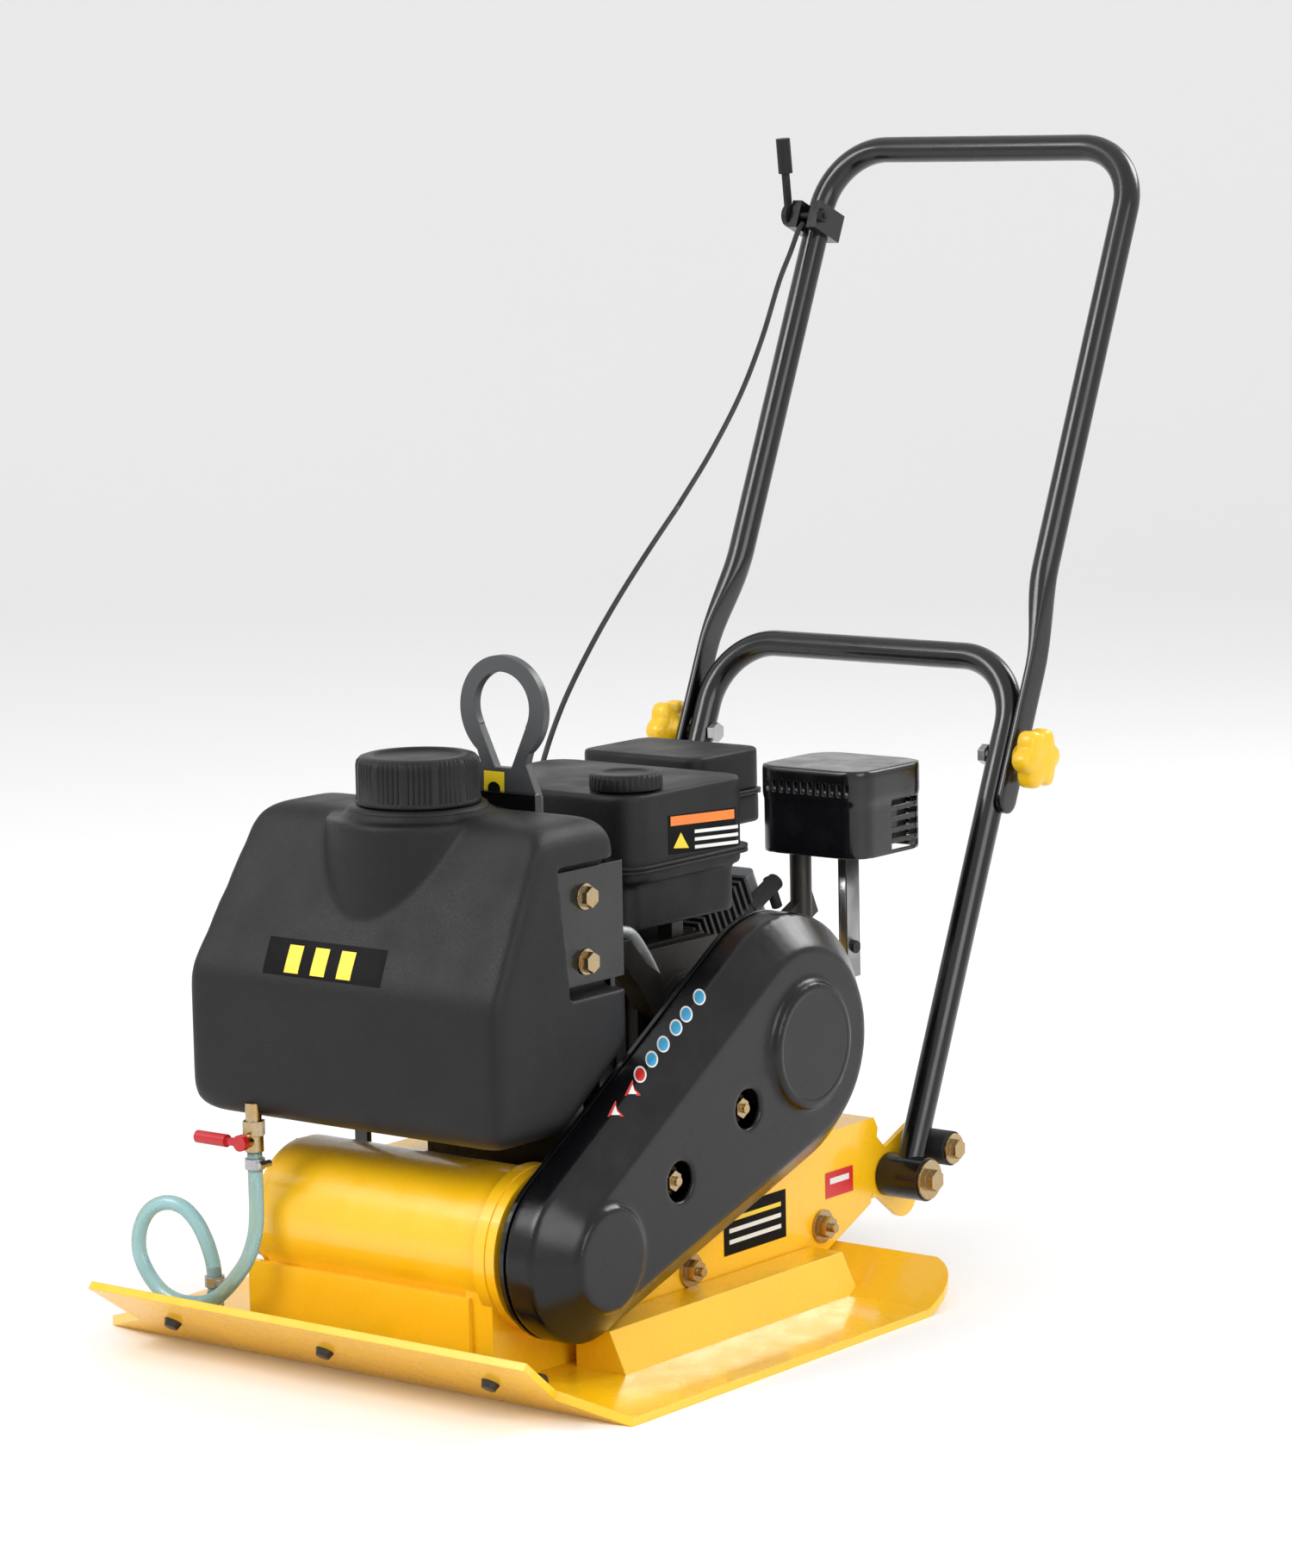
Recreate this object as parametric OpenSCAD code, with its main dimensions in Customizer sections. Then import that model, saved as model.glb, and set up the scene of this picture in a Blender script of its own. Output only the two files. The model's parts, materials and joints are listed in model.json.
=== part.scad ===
// Forward plate compactor with a folding two-part handle, water tank and belt-driven exciter.
// Millimetres. Origin: centre of the flat sole. +X is the operator's right looking forward from
// behind the belt guard side, +Y points to the handle, +Z is up.

/* [Base plate] */
// Width of the base plate
plate_w = 580; // [560:5:600]
// Length of the flat sole
plate_l = 420; // [414:2:426]
// Thickness of the plate
plate_t = 7; // [6:0.5:8]
// How far the front lip rises
lip_rise = 56; // [50:1:60]
// How far the front lip runs forward of the sole
lip_run = 77; // [72:1:80]
// How far the rear lip rises
rear_rise = 30; // [26:1:34]
// How far the rear lip runs behind the sole
rear_run = 65; // [60:1:70]

/* [Exciter and belt drive] */
// Outer radius of the exciter housing
housing_r = 65; // [63:0.5:67]
// Pitch radius of the exciter pulley
exciter_pitch_r = 40; // [39:0.5:41]
// Pitch radius of the clutch pulley
clutch_pitch_r = 60; // [58:0.5:61]
// Outline radius of the belt guard round the clutch
guard_big_r = 112; // [110:1:114]
// Outline radius of the belt guard round the exciter pulley
guard_small_r = 74; // [73:0.5:75]

/* [Water tank] */
// Half width of the tank at its widest
tank_half_w = 172; // [170:1:172]
// Half width of the tank at its top
tank_top_half_w = 160; // [158:1:161]
// Wall of the tank
tank_wall = 4; // [3:0.5:5]
// Diameter of the filler cap
cap_d = 107; // [104:1:110]

/* [Handle] */
// Outer diameter of the handle tubes
tube_d = 25; // [24:0.5:25]
// Wall of the handle tubes
tube_wall = 2; // [1.5:0.5:3]
// Height of the upper grip bar's centre
grip_z = 1004; // [980:2:1030]
// Half spacing of the upper legs
upper_half_w = 176.3; // [176:0.1:177]
// Half spacing of the lower legs
lower_half_w = 173.2; // [172.8:0.1:173.4]

/* [Hidden] */
$fn = 48;
INK = [0.07, 0.07, 0.075];
YELLOW = [0.96, 0.69, 0.02];
STEEL = [0.62, 0.62, 0.64];
ALLOY = [0.52, 0.53, 0.54];
ZINC = [0.75, 0.62, 0.36];
RUBBER = [0.04, 0.04, 0.04];

sole_front = -plate_l / 2;
sole_rear = plate_l / 2;
lip_angle = atan2(lip_rise, lip_run);
rear_angle = atan2(rear_rise, rear_run);
lip_half_w = 242;
lip_neck_half_w = 232;
rear_corner_r = 52;
rail_end_y = 222;

exciter_c = [-143, 114];
clutch_c = [138, 246];
crank_y = clutch_c[0];
crank_z = clutch_c[1];
axis_dir = atan2(clutch_c[1] - exciter_c[1], clutch_c[0] - exciter_c[0]);
axis_gap = norm(clutch_c - exciter_c);
belt_x0 = 177.5;
belt_x1 = 190.5;
belt_half_t = 5;
belt_play = 0.5;
shaft_r = 15;
bearing_seat_r = 20;
bearing_r = 45;
cavity_r = 52;
weight_r = 48;
pto_r = 10;
main_shaft_r = 15;
guard_x0 = 164;
guard_x1 = 192;
guard_face_x = 216;
guard_inset = 28;
guard_wall = 3;
bulge_x = 224;
small_disc_r = 45;
big_disc_r = 56;
drum_r = 50;
guard_bolt_steps = [0.35, 0.69];

bed_z0 = 134;
bed_z1 = 140;
bed_half_w = 150;
side_t = 5;
mount_y = [50, 244];
mount_z = 56;
mount_r = 18;
buffer_x0 = 110;
pivot = [346, 84.5];
stopper = [385, 106];
lug_tail = [372, 61];
sleeve_r = 20;
sleeve_x0 = 151.5;
sleeve_x1 = 195;
pivot_bolt_r = 6;
bush_play = 0.05;
buffer_r = 15.8;
knob = [502.6, 451];
lean = atan2(542 - 370, 535 - 137);
lower_top = [541.5, 535];
upper_top_y = knob[0] + (grip_z - knob[1]) * 0.422;
lower_bend_r = 65;
upper_bend_r = 62;
flat_t = 7;
flat_x0 = 186.2;
leg_tail = 54;
flat_up = 108;
knob_bolt_r = 5;

cylinder_tilt = 25;
lip_bolt_x = [-180, -6, 174];
bar_c = [-214, 22.5];
bar_half = 200;
inlet_x = -162;
arm_c = [190, 372];
arm_x = -136;
valve_c = [-103, -222, 199];
valve_stem = 13;

// Points the throttle cable passes, from the hand lever to the engine
cable_top_route = [
    [-176, 684, 932], [-176, 676, 925], [-176, 663, 905], [-174, 640, 876], [-170, 606, 824],
    [-163, 560, 772], [-155, 500, 720], [-149, 440, 674]
];
cable_low_route = [
    [-149, 439, 673], [-144, 380, 631], [-141, 330, 591], [-140, 290, 553], [-140, 254, 512],
    [-139, 226, 472], [-137, 205, 433], [-136, 194, 400], [-136, 190, 380]
];
cable_r = 2.5;

// Points the water hose passes, from the valve to the spray bar
hose_route = [
    [-103, -222, 180], [-103, -222, 152], [-103, -222, 128], [-104, -224, 108], [-110, -227, 88],
    [-121, -229, 72], [-136, -229, 57], [-152, -229, 46], [-170, -229, 41], [-191, -229, 40],
    [-211, -229, 46], [-227, -229, 60], [-236, -229, 78], [-235, -228, 98], [-225, -226, 115],
    [-209, -223, 123], [-192, -220, 121], [-178, -218, 110], [-169, -216, 94], [-164, -214, 76],
    [-162, -214, 62], [-162, -214, 49]
];
hose_r = 6.5;

// ---- helpers ----

// Extrudes a (Y, Z) outline along X
module along_x(x0, x1) {
    translate([x0, 0, 0]) rotate([90, 0, 90]) linear_extrude(x1 - x0) children();
}

// Extrudes an (X, Z) outline along Y
module along_y(y0, y1) {
    translate([0, y1, 0]) rotate([90, 0, 0]) linear_extrude(y1 - y0) children();
}

// Cylinder along X with its axis at c = (y, z)
module rod_x(x0, x1, r, c) {
    translate([x0, c[0], c[1]]) rotate([0, 90, 0]) cylinder(h = x1 - x0, r = r);
}

// Tube along X
module tube_x(x0, x1, r_out, r_in, c) {
    difference() {
        rod_x(x0, x1, r_out, c);
        rod_x(x0 - 1, x1 + 1, r_in, c);
    }
}

// Hexagonal prism along X, such as a nut or a bolt head
module hex_x(x0, x1, r, c) {
    translate([x0, c[0], c[1]]) rotate([0, 90, 0]) cylinder(h = x1 - x0, r = r, $fn = 6);
}

// Both sides of the machine
module both_sides() {
    children();
    mirror([1, 0, 0]) children();
}

// Everything drawn in the frame of the leaning legs: x across, y along the leg, origin at the knob
module leg_frame() {
    translate([0, knob[0], knob[1]]) rotate([90 - lean, 0, 0]) children();
}

// Rectangle with round corners
module round_rect(lo, hi, r) {
    size = hi - lo;
    translate([lo[0] + r, lo[1]]) square([size[0] - 2 * r, size[1]]);
    translate([lo[0], lo[1] + r]) square([size[0], size[1] - 2 * r]);
    for (x = [lo[0] + r, hi[0] - r], y = [lo[1] + r, hi[1] - r]) translate([x, y]) circle(r = r);
}

// Block between two corners with round upright edges
module soft_block(lo, hi, r) {
    translate([0, 0, lo[2]]) linear_extrude(hi[2] - lo[2])
        round_rect([lo[0], lo[1]], [hi[0], hi[1]], r);
}

// Point on a circle
function polar(c, r, a) = [c[0] + r * cos(a), c[1] + r * sin(a)];
function arc(c, r, a0, a1, n = 8) = [for (i = [0:n]) polar(c, r, a0 + (a1 - a0) * i / n)];

// Outline that wraps both pulleys: an arc round each axis joined by tangents
module belt_outline(r_small, r_big) {
    spread = acos((r_small - r_big) / axis_gap);
    polygon(concat(
        arc(exciter_c, r_small, axis_dir + spread, axis_dir + 360 - spread, 24),
        arc(clutch_c, r_big, axis_dir - spread, axis_dir + spread, 32)
    ));
}

// Round tube swept along a route of points, with closed ends
function unit(v) = v / norm(v);
function route_point(p, i) = p[max(0, min(len(p) - 1, i))];
function spline(a, b, c, d, t) =
    0.5 * (2 * b + (c - a) * t + (2 * a - 5 * b + 4 * c - d) * t * t
        + (3 * b - a - 3 * c + d) * t * t * t);
function smooth_route(p, steps) = concat(
    [for (i = [0:len(p) - 2], k = [0:steps - 1])
        spline(route_point(p, i - 1), p[i], p[i + 1], route_point(p, i + 2), k / steps)],
    [p[len(p) - 1]]);
function tangent(p, i) = unit(route_point(p, i + 1) - route_point(p, i - 1));
function ring(c, t, r, n, side) =
    let (u = unit(cross(side, t)), v = cross(t, u))
    [for (k = [0:n - 1]) c + r * (u * cos(360 * k / n) + v * sin(360 * k / n))];
module sweep_tube(route, r, n, steps, side) {
    p = smooth_route(route, steps);
    last = len(p) - 1;
    points = [for (i = [0:last]) each ring(p[i], tangent(p, i), r, n, side)];
    walls = [for (i = [0:last - 1], k = [0:n - 1])
        each [[i * n + k, i * n + (k + 1) % n, (i + 1) * n + (k + 1) % n],
              [i * n + k, (i + 1) * n + (k + 1) % n, (i + 1) * n + k]]];
    near = [for (k = [0:n - 1]) n - 1 - k];
    far = [for (k = [0:n - 1]) last * n + k];
    polyhedron(points, concat([near], walls, [far]));
}

// ---- base ----

function plate_side(t) = [
    [sole_front - lip_run, lip_rise], [sole_front, 0], [sole_rear, 0],
    [sole_rear + rear_run, rear_rise],
    [sole_rear + rear_run - t * sin(rear_angle), rear_rise + t * cos(rear_angle)],
    [sole_rear - t * tan(rear_angle / 2), t],
    [sole_front + t * tan(lip_angle / 2), t],
    [sole_front - lip_run + t * sin(lip_angle), lip_rise + t * cos(lip_angle)]
];

module plate_outline() {
    half = plate_w / 2;
    rear = sole_rear + rear_run;
    polygon(concat(
        [[-lip_half_w, sole_front - lip_run], [lip_half_w, sole_front - lip_run],
         [lip_neck_half_w, sole_front - 26], [half, sole_front]],
        arc([half - rear_corner_r, rear - rear_corner_r], rear_corner_r, 0, 90),
        arc([rear_corner_r - half, rear - rear_corner_r], rear_corner_r, 90, 180),
        [[-half, sole_front], [-lip_neck_half_w, sole_front - 26]]
    ));
}

module base_plate() color(YELLOW) {
    difference() {
        union() {
            intersection() {
                along_x(-plate_w / 2, plate_w / 2) polygon(plate_side(plate_t));
                linear_extrude(lip_rise + plate_t + 1) plate_outline();
            }
            both_sides() {
                along_y(-110, rail_end_y)
                    polygon([[152, plate_t - 1], [205, plate_t - 1], [188, 42], [152, 42]]);
                for (y = mount_y)
                    translate([buffer_x0 - 6, y - 24, plate_t - 1]) cube([6, 48, 76]);
            }
        }
        both_sides()
            for (y = mount_y) rod_x(buffer_x0 - 7, buffer_x0 + 1, 4.2, [y, mount_z]);
        for (x = lip_bolt_x) lip_frame(x) translate([0, 0, -4]) cylinder(h = 16, r = 4.2);
    }
}

// Frame square to the front lip at a bolt, with its origin on the lip's underside
module lip_frame(x) {
    translate([x, sole_front - 38, 38 * tan(lip_angle)]) rotate([-lip_angle, 0, 0]) children();
}

module spray_bar() color(INK) {
    difference() {
        union() {
            rod_x(-bar_half, bar_half, 8.5, bar_c);
            translate([inlet_x, bar_c[0], bar_c[1]]) cylinder(h = 14, r = 6);
            for (x = lip_bolt_x)
                lip_frame(x) translate([-9, -10, plate_t + 0.05]) cube([18, 40, 3]);
        }
        rod_x(4 - bar_half, bar_half - 4, 6.5, bar_c);
        for (x = [-190:20:190]) translate([x, bar_c[0], bar_c[1] - 12]) cylinder(h = 10, r = 1.2);
        for (x = lip_bolt_x) lip_frame(x) cylinder(h = 16, r = 4.2);
        translate([inlet_x, bar_c[0], bar_c[1]]) cylinder(h = 15, r = 3.5);
    }
}

module lip_bolts() color(STEEL) {
    for (x = lip_bolt_x)
        lip_frame(x) {
            translate([0, 0, -6]) cylinder(h = 5.95, r1 = 6, r2 = 8);
            translate([0, 0, -1]) cylinder(h = 15.5, r = 4);
            translate([0, 0, plate_t + 3.1]) cylinder(h = 4, r = 6.5, $fn = 6);
        }
}

// ---- exciter ----

housing_x0 = -112;
housing_x1 = 140;
cover_t = 10;

module exciter_housing() color(YELLOW) {
    difference() {
        union() {
            rod_x(housing_x0, housing_x1, housing_r, exciter_c);
            rod_x(housing_x1 - 12, housing_x1, 70, exciter_c);
            along_x(-130, 116) polygon([[-205, plate_t], [-81, plate_t], [-81, 80], [-205, 80]]);
            along_x(110, housing_x1 - 2)
                polygon([[-200, plate_t], [-86, plate_t], [-85, 114], [-202, 114]]);
        }
        rod_x(housing_x0 - 30, housing_x1 + 1, bearing_r, exciter_c);
        rod_x(housing_x0 + 24, housing_x1 - 24, cavity_r, exciter_c);
        rod_x(-131, housing_x0, housing_r, exciter_c);
        for (a = [0:60:300]) rod_x(housing_x1 - 14, housing_x1 + 1, 3, polar(exciter_c, 57, a + 30));
        for (a = [0:60:300]) rod_x(housing_x0 - 1, housing_x0 + 14, 3, polar(exciter_c, 55, a + 30));
    }
}

module exciter_cover_left() color(YELLOW) {
    difference() {
        union() {
            rod_x(housing_x0 - cover_t, housing_x0, 62, exciter_c);
            rod_x(housing_x0 - cover_t - 6, housing_x0 - cover_t, 36, exciter_c);
        }
        rod_x(housing_x0 - cover_t, housing_x0 + 1, 34, exciter_c);
        for (a = [0:60:300])
            rod_x(housing_x0 - 20, housing_x0 + 1, 3.3, polar(exciter_c, 55, a + 30));
    }
}

module exciter_cover_right() color(YELLOW) {
    difference() {
        rod_x(housing_x1, housing_x1 + cover_t, 69, exciter_c);
        rod_x(housing_x1 - 1, housing_x1 + cover_t + 1, shaft_r + 1, exciter_c);
        rod_x(housing_x1 - 1, housing_x1 + 3, 40, exciter_c);
        for (a = [0:60:300])
            rod_x(housing_x1 - 1, housing_x1 + 11, 3.3, polar(exciter_c, 57, a + 30));
    }
}

module cover_bolts() color(STEEL) {
    for (a = [0:60:300]) {
        right = polar(exciter_c, 57, a + 30);
        left = polar(exciter_c, 55, a + 30);
        hex_x(housing_x1 + cover_t + 0.01, housing_x1 + cover_t + 5, 6.5, right);
        rod_x(housing_x1 - 12, housing_x1 + cover_t + 0.01, 2.9, right);
        hex_x(housing_x0 - cover_t - 5, housing_x0 - cover_t - 0.01, 6, left);
        rod_x(housing_x0 - cover_t - 0.01, housing_x0 + 12, 2.9, left);
    }
}

module exciter_bearings() color(STEEL) {
    tube_x(housing_x0 + 0.2, housing_x0 + 23, bearing_r - 0.02, bearing_seat_r + bush_play, exciter_c);
    tube_x(housing_x1 - 23, housing_x1 - 0.2, bearing_r - 0.02, bearing_seat_r + bush_play, exciter_c);
}

module eccentric_shaft() color(STEEL) {
    rod_x(housing_x0 + 1, housing_x1 - 0.5, bearing_seat_r, exciter_c);
    rod_x(housing_x1 - 1, 198, shaft_r, exciter_c);
    intersection() {
        rod_x(housing_x0 + 34, housing_x1 - 34, weight_r, exciter_c);
        translate([-200, exciter_c[0] - 60, exciter_c[1] - 60]) cube([400, 120, 60]);
    }
}

// V pulley with one groove round the X axis
module pulley(x0, x1, pitch_r, bore_r, c) {
    groove_r = pitch_r - belt_half_t - belt_play;
    rim_r = pitch_r + belt_half_t + 1;
    w = x1 - x0;
    g0 = belt_x0 - belt_play - x0;
    g1 = belt_x1 + belt_play - x0;
    translate([x0, c[0], c[1]]) rotate([0, 90, 0]) rotate_extrude($fn = 96)
        polygon([[bore_r, 0], [rim_r, 0], [rim_r, g0], [groove_r, g0], [groove_r, g1],
            [rim_r, g1], [rim_r, w], [bore_r, w]]);
}

module exciter_pulley() color(STEEL) pulley(173, 196, exciter_pitch_r, shaft_r, exciter_c);

module drive_belt() color(RUBBER) {
    difference() {
        along_x(belt_x0, belt_x1)
            belt_outline(exciter_pitch_r + belt_half_t, clutch_pitch_r + belt_half_t);
        along_x(belt_x0 - 1, belt_x1 + 1)
            belt_outline(exciter_pitch_r - belt_half_t, clutch_pitch_r - belt_half_t);
    }
}

module clutch_pulley() color(STEEL) {
    difference() {
        union() {
            pulley(173, 196, clutch_pitch_r, pto_r + 12, clutch_c);
            rod_x(195, 219, drum_r, clutch_c);
        }
        rod_x(172, 216, 44, clutch_c);
        rod_x(172, 221, pto_r + 0.3, clutch_c);
    }
    tube_x(172, 176, 45, pto_r + 0.3, clutch_c);
}

module clutch_hub() color(ALLOY) {
    difference() {
        union() {
            rod_x(176.5, 206, 18, clutch_c);
            rod_x(180, 202, 40, clutch_c);
        }
        rod_x(170, 220, pto_r, clutch_c);
        for (a = [0:120:240])
            translate([179, clutch_c[0], clutch_c[1]]) rotate([a, 0, 0])
                translate([0, -1.5, 20]) cube([24, 3, 24]);
    }
}

// ---- engine ----

case_x0 = -74;
case_x1 = 72;
case_y0 = 66;
case_y1 = 208;
switch_c = [-50, 72, 300];

// Frame of the cylinder: local +Y runs up the bore
module bore_frame() {
    translate([0, crank_y, crank_z]) rotate([cylinder_tilt, 0, 0]) children();
}

module crankshaft() color(STEEL) {
    rod_x(-150, -16, main_shaft_r, clutch_c);
    rod_x(16, 92, main_shaft_r, clutch_c);
    rod_x(90, 207, pto_r, clutch_c);
    rod_x(-30, -16, 42, clutch_c);
    rod_x(16, 30, 42, clutch_c);
    rod_x(-17, 17, 14, clutch_c + [0, 26]);
}

module flywheel() color(ALLOY) {
    difference() {
        union() {
            rod_x(-122, -106, 78, clutch_c);
            for (a = [0:30:330])
                translate([-138, clutch_c[0], clutch_c[1]]) rotate([a, 0, 0])
                    translate([0, -1.5, 46]) cube([17, 3, 30]);
        }
        rod_x(-150, -90, main_shaft_r, clutch_c);
    }
}

module crankcase() color(INK) {
    difference() {
        union() {
            translate([case_x0, case_y0, bed_z1 + 8])
                cube([case_x1 - case_x0, case_y1 - case_y0, 178]);
            translate([case_x0 - 8, case_y0 - 8, bed_z1])
                cube([case_x1 - case_x0 + 16, case_y1 - case_y0 + 16, 10]);
            rod_x(-88, case_x0 + 1, 60, clutch_c);
            rod_x(-92.9, -86, 90, clutch_c);
            for (x = [-60, 58], y = [76, 150]) translate([x - 8, y - 8, 320]) cube([16, 16, 25]);
            translate([case_x1 - 26, case_y0 + 6, 188]) rotate([60, 0, 0]) cylinder(h = 34, r = 13);
        }
        rod_x(case_x0 + 8, case_x1 + 1, 56, clutch_c);
        rod_x(-100, case_x1, main_shaft_r + bush_play, clutch_c);
        bore_frame() translate([-120, 72, -160]) cube([240, 200, 320]);
        bore_frame() translate([0, 20, 0]) rotate([-90, 0, 0]) cylinder(h = 80, r = 34);
        translate([case_x1 - 26, case_y0 + 6, 188]) rotate([60, 0, 0])
            translate([0, 0, -10]) cylinder(h = 60, r = 8.3);
        for (x = [-66, 64], y = [84, 190])
            translate([x, y, bed_z1 - 1]) cylinder(h = 40, r = 4.3);
        translate(switch_c - [10, 12, 12]) cube([20, 18, 24]);
    }
}

module crankcase_cover() color(ALLOY) {
    difference() {
        union() {
            along_x(case_x1, case_x1 + 12) difference() {
                translate([case_y0 + 2, bed_z1 + 12]) square([138, 172]);
                translate([crank_y, crank_z]) rotate(cylinder_tilt)
                    translate([72, -160]) square([200, 320]);
            }
            rod_x(case_x1 + 11, case_x1 + 20, 52, clutch_c);
            along_x(case_x1 + 8, 100)
                polygon([[24, 342], [40, 342], [62, 318], [84, 304], [84, 262], [74, 266], [50, 300],
                    [26, 326]]);
        }
        rod_x(case_x1 - 1, 93, main_shaft_r + bush_play, clutch_c);
    }
}

module cylinder_fins() {
    for (i = [0:10])
        translate([-56, 76 + i * 8.4, -52]) cube([112, 3.4, 104]);
}

module cylinder_block() color(STEEL) {
    bore_frame() difference() {
        union() {
            translate([-44, 72, -44]) cube([88, 98, 88]);
            cylinder_fins();
        }
        translate([0, 60, 0]) rotate([-90, 0, 0]) cylinder(h = 102, r = 34);
        translate([50, 60, 18]) rotate([-90, 0, 0]) cylinder(h = 130, r = 7.2);
        translate([50, 159, 18]) rotate([-90, 0, 0]) cylinder(h = 20, r = 9.4);
        translate([52, 130, -16]) cube([10, 50, 32]);
    }
}

module rocker_cover() color(ALLOY) {
    bore_frame() difference() {
        union() {
            translate([-40, 170, -38]) cube([80, 8, 76]);
            soft_block([-36, 172, -33], [36, 202, 33], 8);
        }
        translate([-32, 169, -29]) cube([64, 28, 58]);
    }
}

module spark_plug() color(INK) {
    bore_frame() translate([50, 136, 18]) rotate([-90, 0, 0]) {
        translate([0, 0, 24]) cylinder(h = 12, r = 9, $fn = 6);
        translate([0, 0, 2]) cylinder(h = 24, r = 7);
        translate([0, 0, 36]) cylinder(h = 34, r = 8);
        translate([0, -8, 62]) rotate([-90, 0, 0]) cylinder(h = 30, r = 5);
    }
}

module recoil_starter() color(INK) {
    difference() {
        union() {
            rod_x(-158, -93, 91, clutch_c);
            along_x(-128, -122) polygon([[178, 326], [202, 308], [202, 360], [178, 360]]);
        }
        rod_x(-142, -92, 86, clutch_c);
        rod_x(-151, -92, 20, clutch_c);
        rod_x(-155.5, -141, 62, clutch_c);
        rod_x(-129, -121, 4.2, arm_c - [0, 22]);
        for (a = [15:30:345])
            translate([-160, clutch_c[0], clutch_c[1]]) rotate([a, 0, 0])
                translate([0, -5, 66]) cube([20, 10, 16]);
    }
    translate([-150, 150, 325]) rotate([0, -36.87, 0]) cylinder(h = 23, r = 8);
}

module starter_grip() color(INK) {
    translate([-164, 150, 344]) rotate([0, -36.87, 0]) {
        cylinder(h = 22, r = 5);
        translate([0, -22, 26]) rotate([-90, 0, 0]) cylinder(h = 44, r = 8);
    }
}

tank_floor = 345;
tank_seam = 398;
tank_roof = 466;
filler = [70, 76];

module fuel_tank() color(INK) {
    difference() {
        union() {
            soft_block([-104, 42, tank_floor], [96, 202, tank_seam + 14], 14);
            translate([-121, 31, tank_seam]) cube([231, 182, 6]);
            soft_block([-114, 37, tank_seam - 10], [107, 206, tank_roof], 20);
            translate([filler[0], filler[1], tank_roof - 4]) cylinder(h = 8, r = 24);
        }
        soft_block([-101, 45, tank_floor + 3], [93, 199, tank_seam + 10], 12);
        soft_block([-111, 40, tank_seam + 6.5], [104, 203, tank_roof - 3], 17);
        translate([filler[0], filler[1], tank_roof - 8]) cylinder(h = 20, r = 21);
    }
}

module fuel_cap() color(INK) {
    translate([filler[0], filler[1], tank_roof + 0.4]) difference() {
        cylinder(h = 15, r = 32);
        translate([0, 0, -1]) cylinder(h = 12, r = 24.4);
        for (a = [0:20:340]) rotate(a) translate([33, 0, -1]) cylinder(h = 20, r = 2.6);
    }
}

module carburettor() color(ALLOY) {
    difference() {
        union() {
            translate([-112, 222, 366]) cube([76, 44, 22]);
            bore_frame() translate([-66, 130, 52.05]) cube([30, 24, 20]);
            translate([-90, 250, 358]) cylinder(h = 60, r = 16);
            translate([-90, 250, 412]) rotate([-90, 0, 0]) cylinder(h = 40, r = 14);
            translate([-90, 250, 412]) rotate([-90, 0, 0]) cylinder(h = 29.95, r = 20);
        }
        translate([-90, 250, 412]) rotate([-90, 0, 0]) cylinder(h = 60, r = 10);
    }
}

module air_cleaner() color(INK) {
    difference() {
        union() {
            soft_block([-150, 282, 392], [-12, 386, 462], 12);
            translate([-152, 280, 418]) cube([142, 108, 5]);
        }
        soft_block([-147, 285, 395], [-15, 383, 459], 9);
        translate([-90, 270, 412]) rotate([-90, 0, 0]) cylinder(h = 30, r = 14.1);
    }
}

module muffler() color(STEEL) {
    soft_block([40, 322, 384], [138, 410, 444], 14);
    translate([62, 340, 316]) cylinder(h = 70, r = 10);
    bore_frame() translate([56.05, 120, -30]) cube([10, 112, 24]);
    for (x = [32.5, 137]) translate([x, 358, 400]) cube([10.5, 14, 20]);
    translate([104, 340, 262]) cube([9, 20, 128]);
    translate([112, 350, 290]) rotate([0, 90, 0]) cylinder(h = 5, r = 6, $fn = 6);
}

module muffler_guard() color(INK) {
    difference() {
        soft_block([30, 312, 372], [150, 420, 456], 12);
        soft_block([32.5, 314.5, 360], [147.5, 417.5, 453.5], 10);
        translate([20, 300, 360]) cube([150, 140, 14]);
        for (z = [388:14:430])
            translate([144, 372, z]) cube([10, 40, 7]);
        for (z = [388:14:430])
            translate([112, 414, z]) cube([32, 10, 7]);
    }
}

module choke_lever() color(INK) {
    translate([-125, 244, 378]) rotate([0, 90, 0]) {
        cylinder(h = 12.9, r = 5);
        translate([-3, 0, 0]) cube([6, 34, 3]);
        translate([0, 36, -3]) cylinder(h = 8, r = 7);
    }
}

module throttle_arm() color(STEEL) {
    along_x(arm_x - 6, arm_x - 3) {
        translate(arm_c + [0, -22]) circle(r = 9);
        translate(arm_c + [-4, -22]) square([8, 26]);
        translate(arm_c + [0, 4]) circle(r = 6);
    }
    rod_x(arm_x - 6, arm_x + 12, 4, arm_c + [0, -22]);
}

module engine_switch() color([0.7, 0.05, 0.04]) translate(switch_c) {
    translate([-8, -8, -9]) cube([16, 10, 18]);
    translate([-9.9, 0, 0]) rotate([0, 90, 0]) cylinder(h = 19.8, r = 3);
}

module dipstick() color(INK) {
    translate([case_x1 - 26, case_y0 + 6, 188]) rotate([60, 0, 0]) {
        translate([0, 0, 34.3]) cylinder(h = 12, r = 14, $fn = 40);
        translate([0, 0, 46]) translate([-12, -2, 0]) cube([24, 4, 7]);
        translate([0, 0, -6]) cylinder(h = 41, r = 8);
    }
}

// ---- engine bed ----

module bed_side() {
    difference() {
        union() {
            polygon([[-56, 62], [-40, 31], [250, 31], [320, 62], [332, 130], [326, bed_z1],
                [-56, bed_z1]]);
            hull() {
                translate(pivot) circle(r = 24);
                translate(lug_tail) circle(r = 21);
            }
            hull() {
                translate(pivot) circle(r = 24);
                translate(stopper) circle(r = 19);
            }
            polygon([[322, 66], pivot + [0, -20], pivot + [0, 22], [322, 130]]);
        }
        translate(pivot) circle(r = pivot_bolt_r + 0.2);
        translate(stopper) circle(r = 5.2);
        for (y = mount_y) translate([y, mount_z]) circle(r = 5.2);
    }
}

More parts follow.
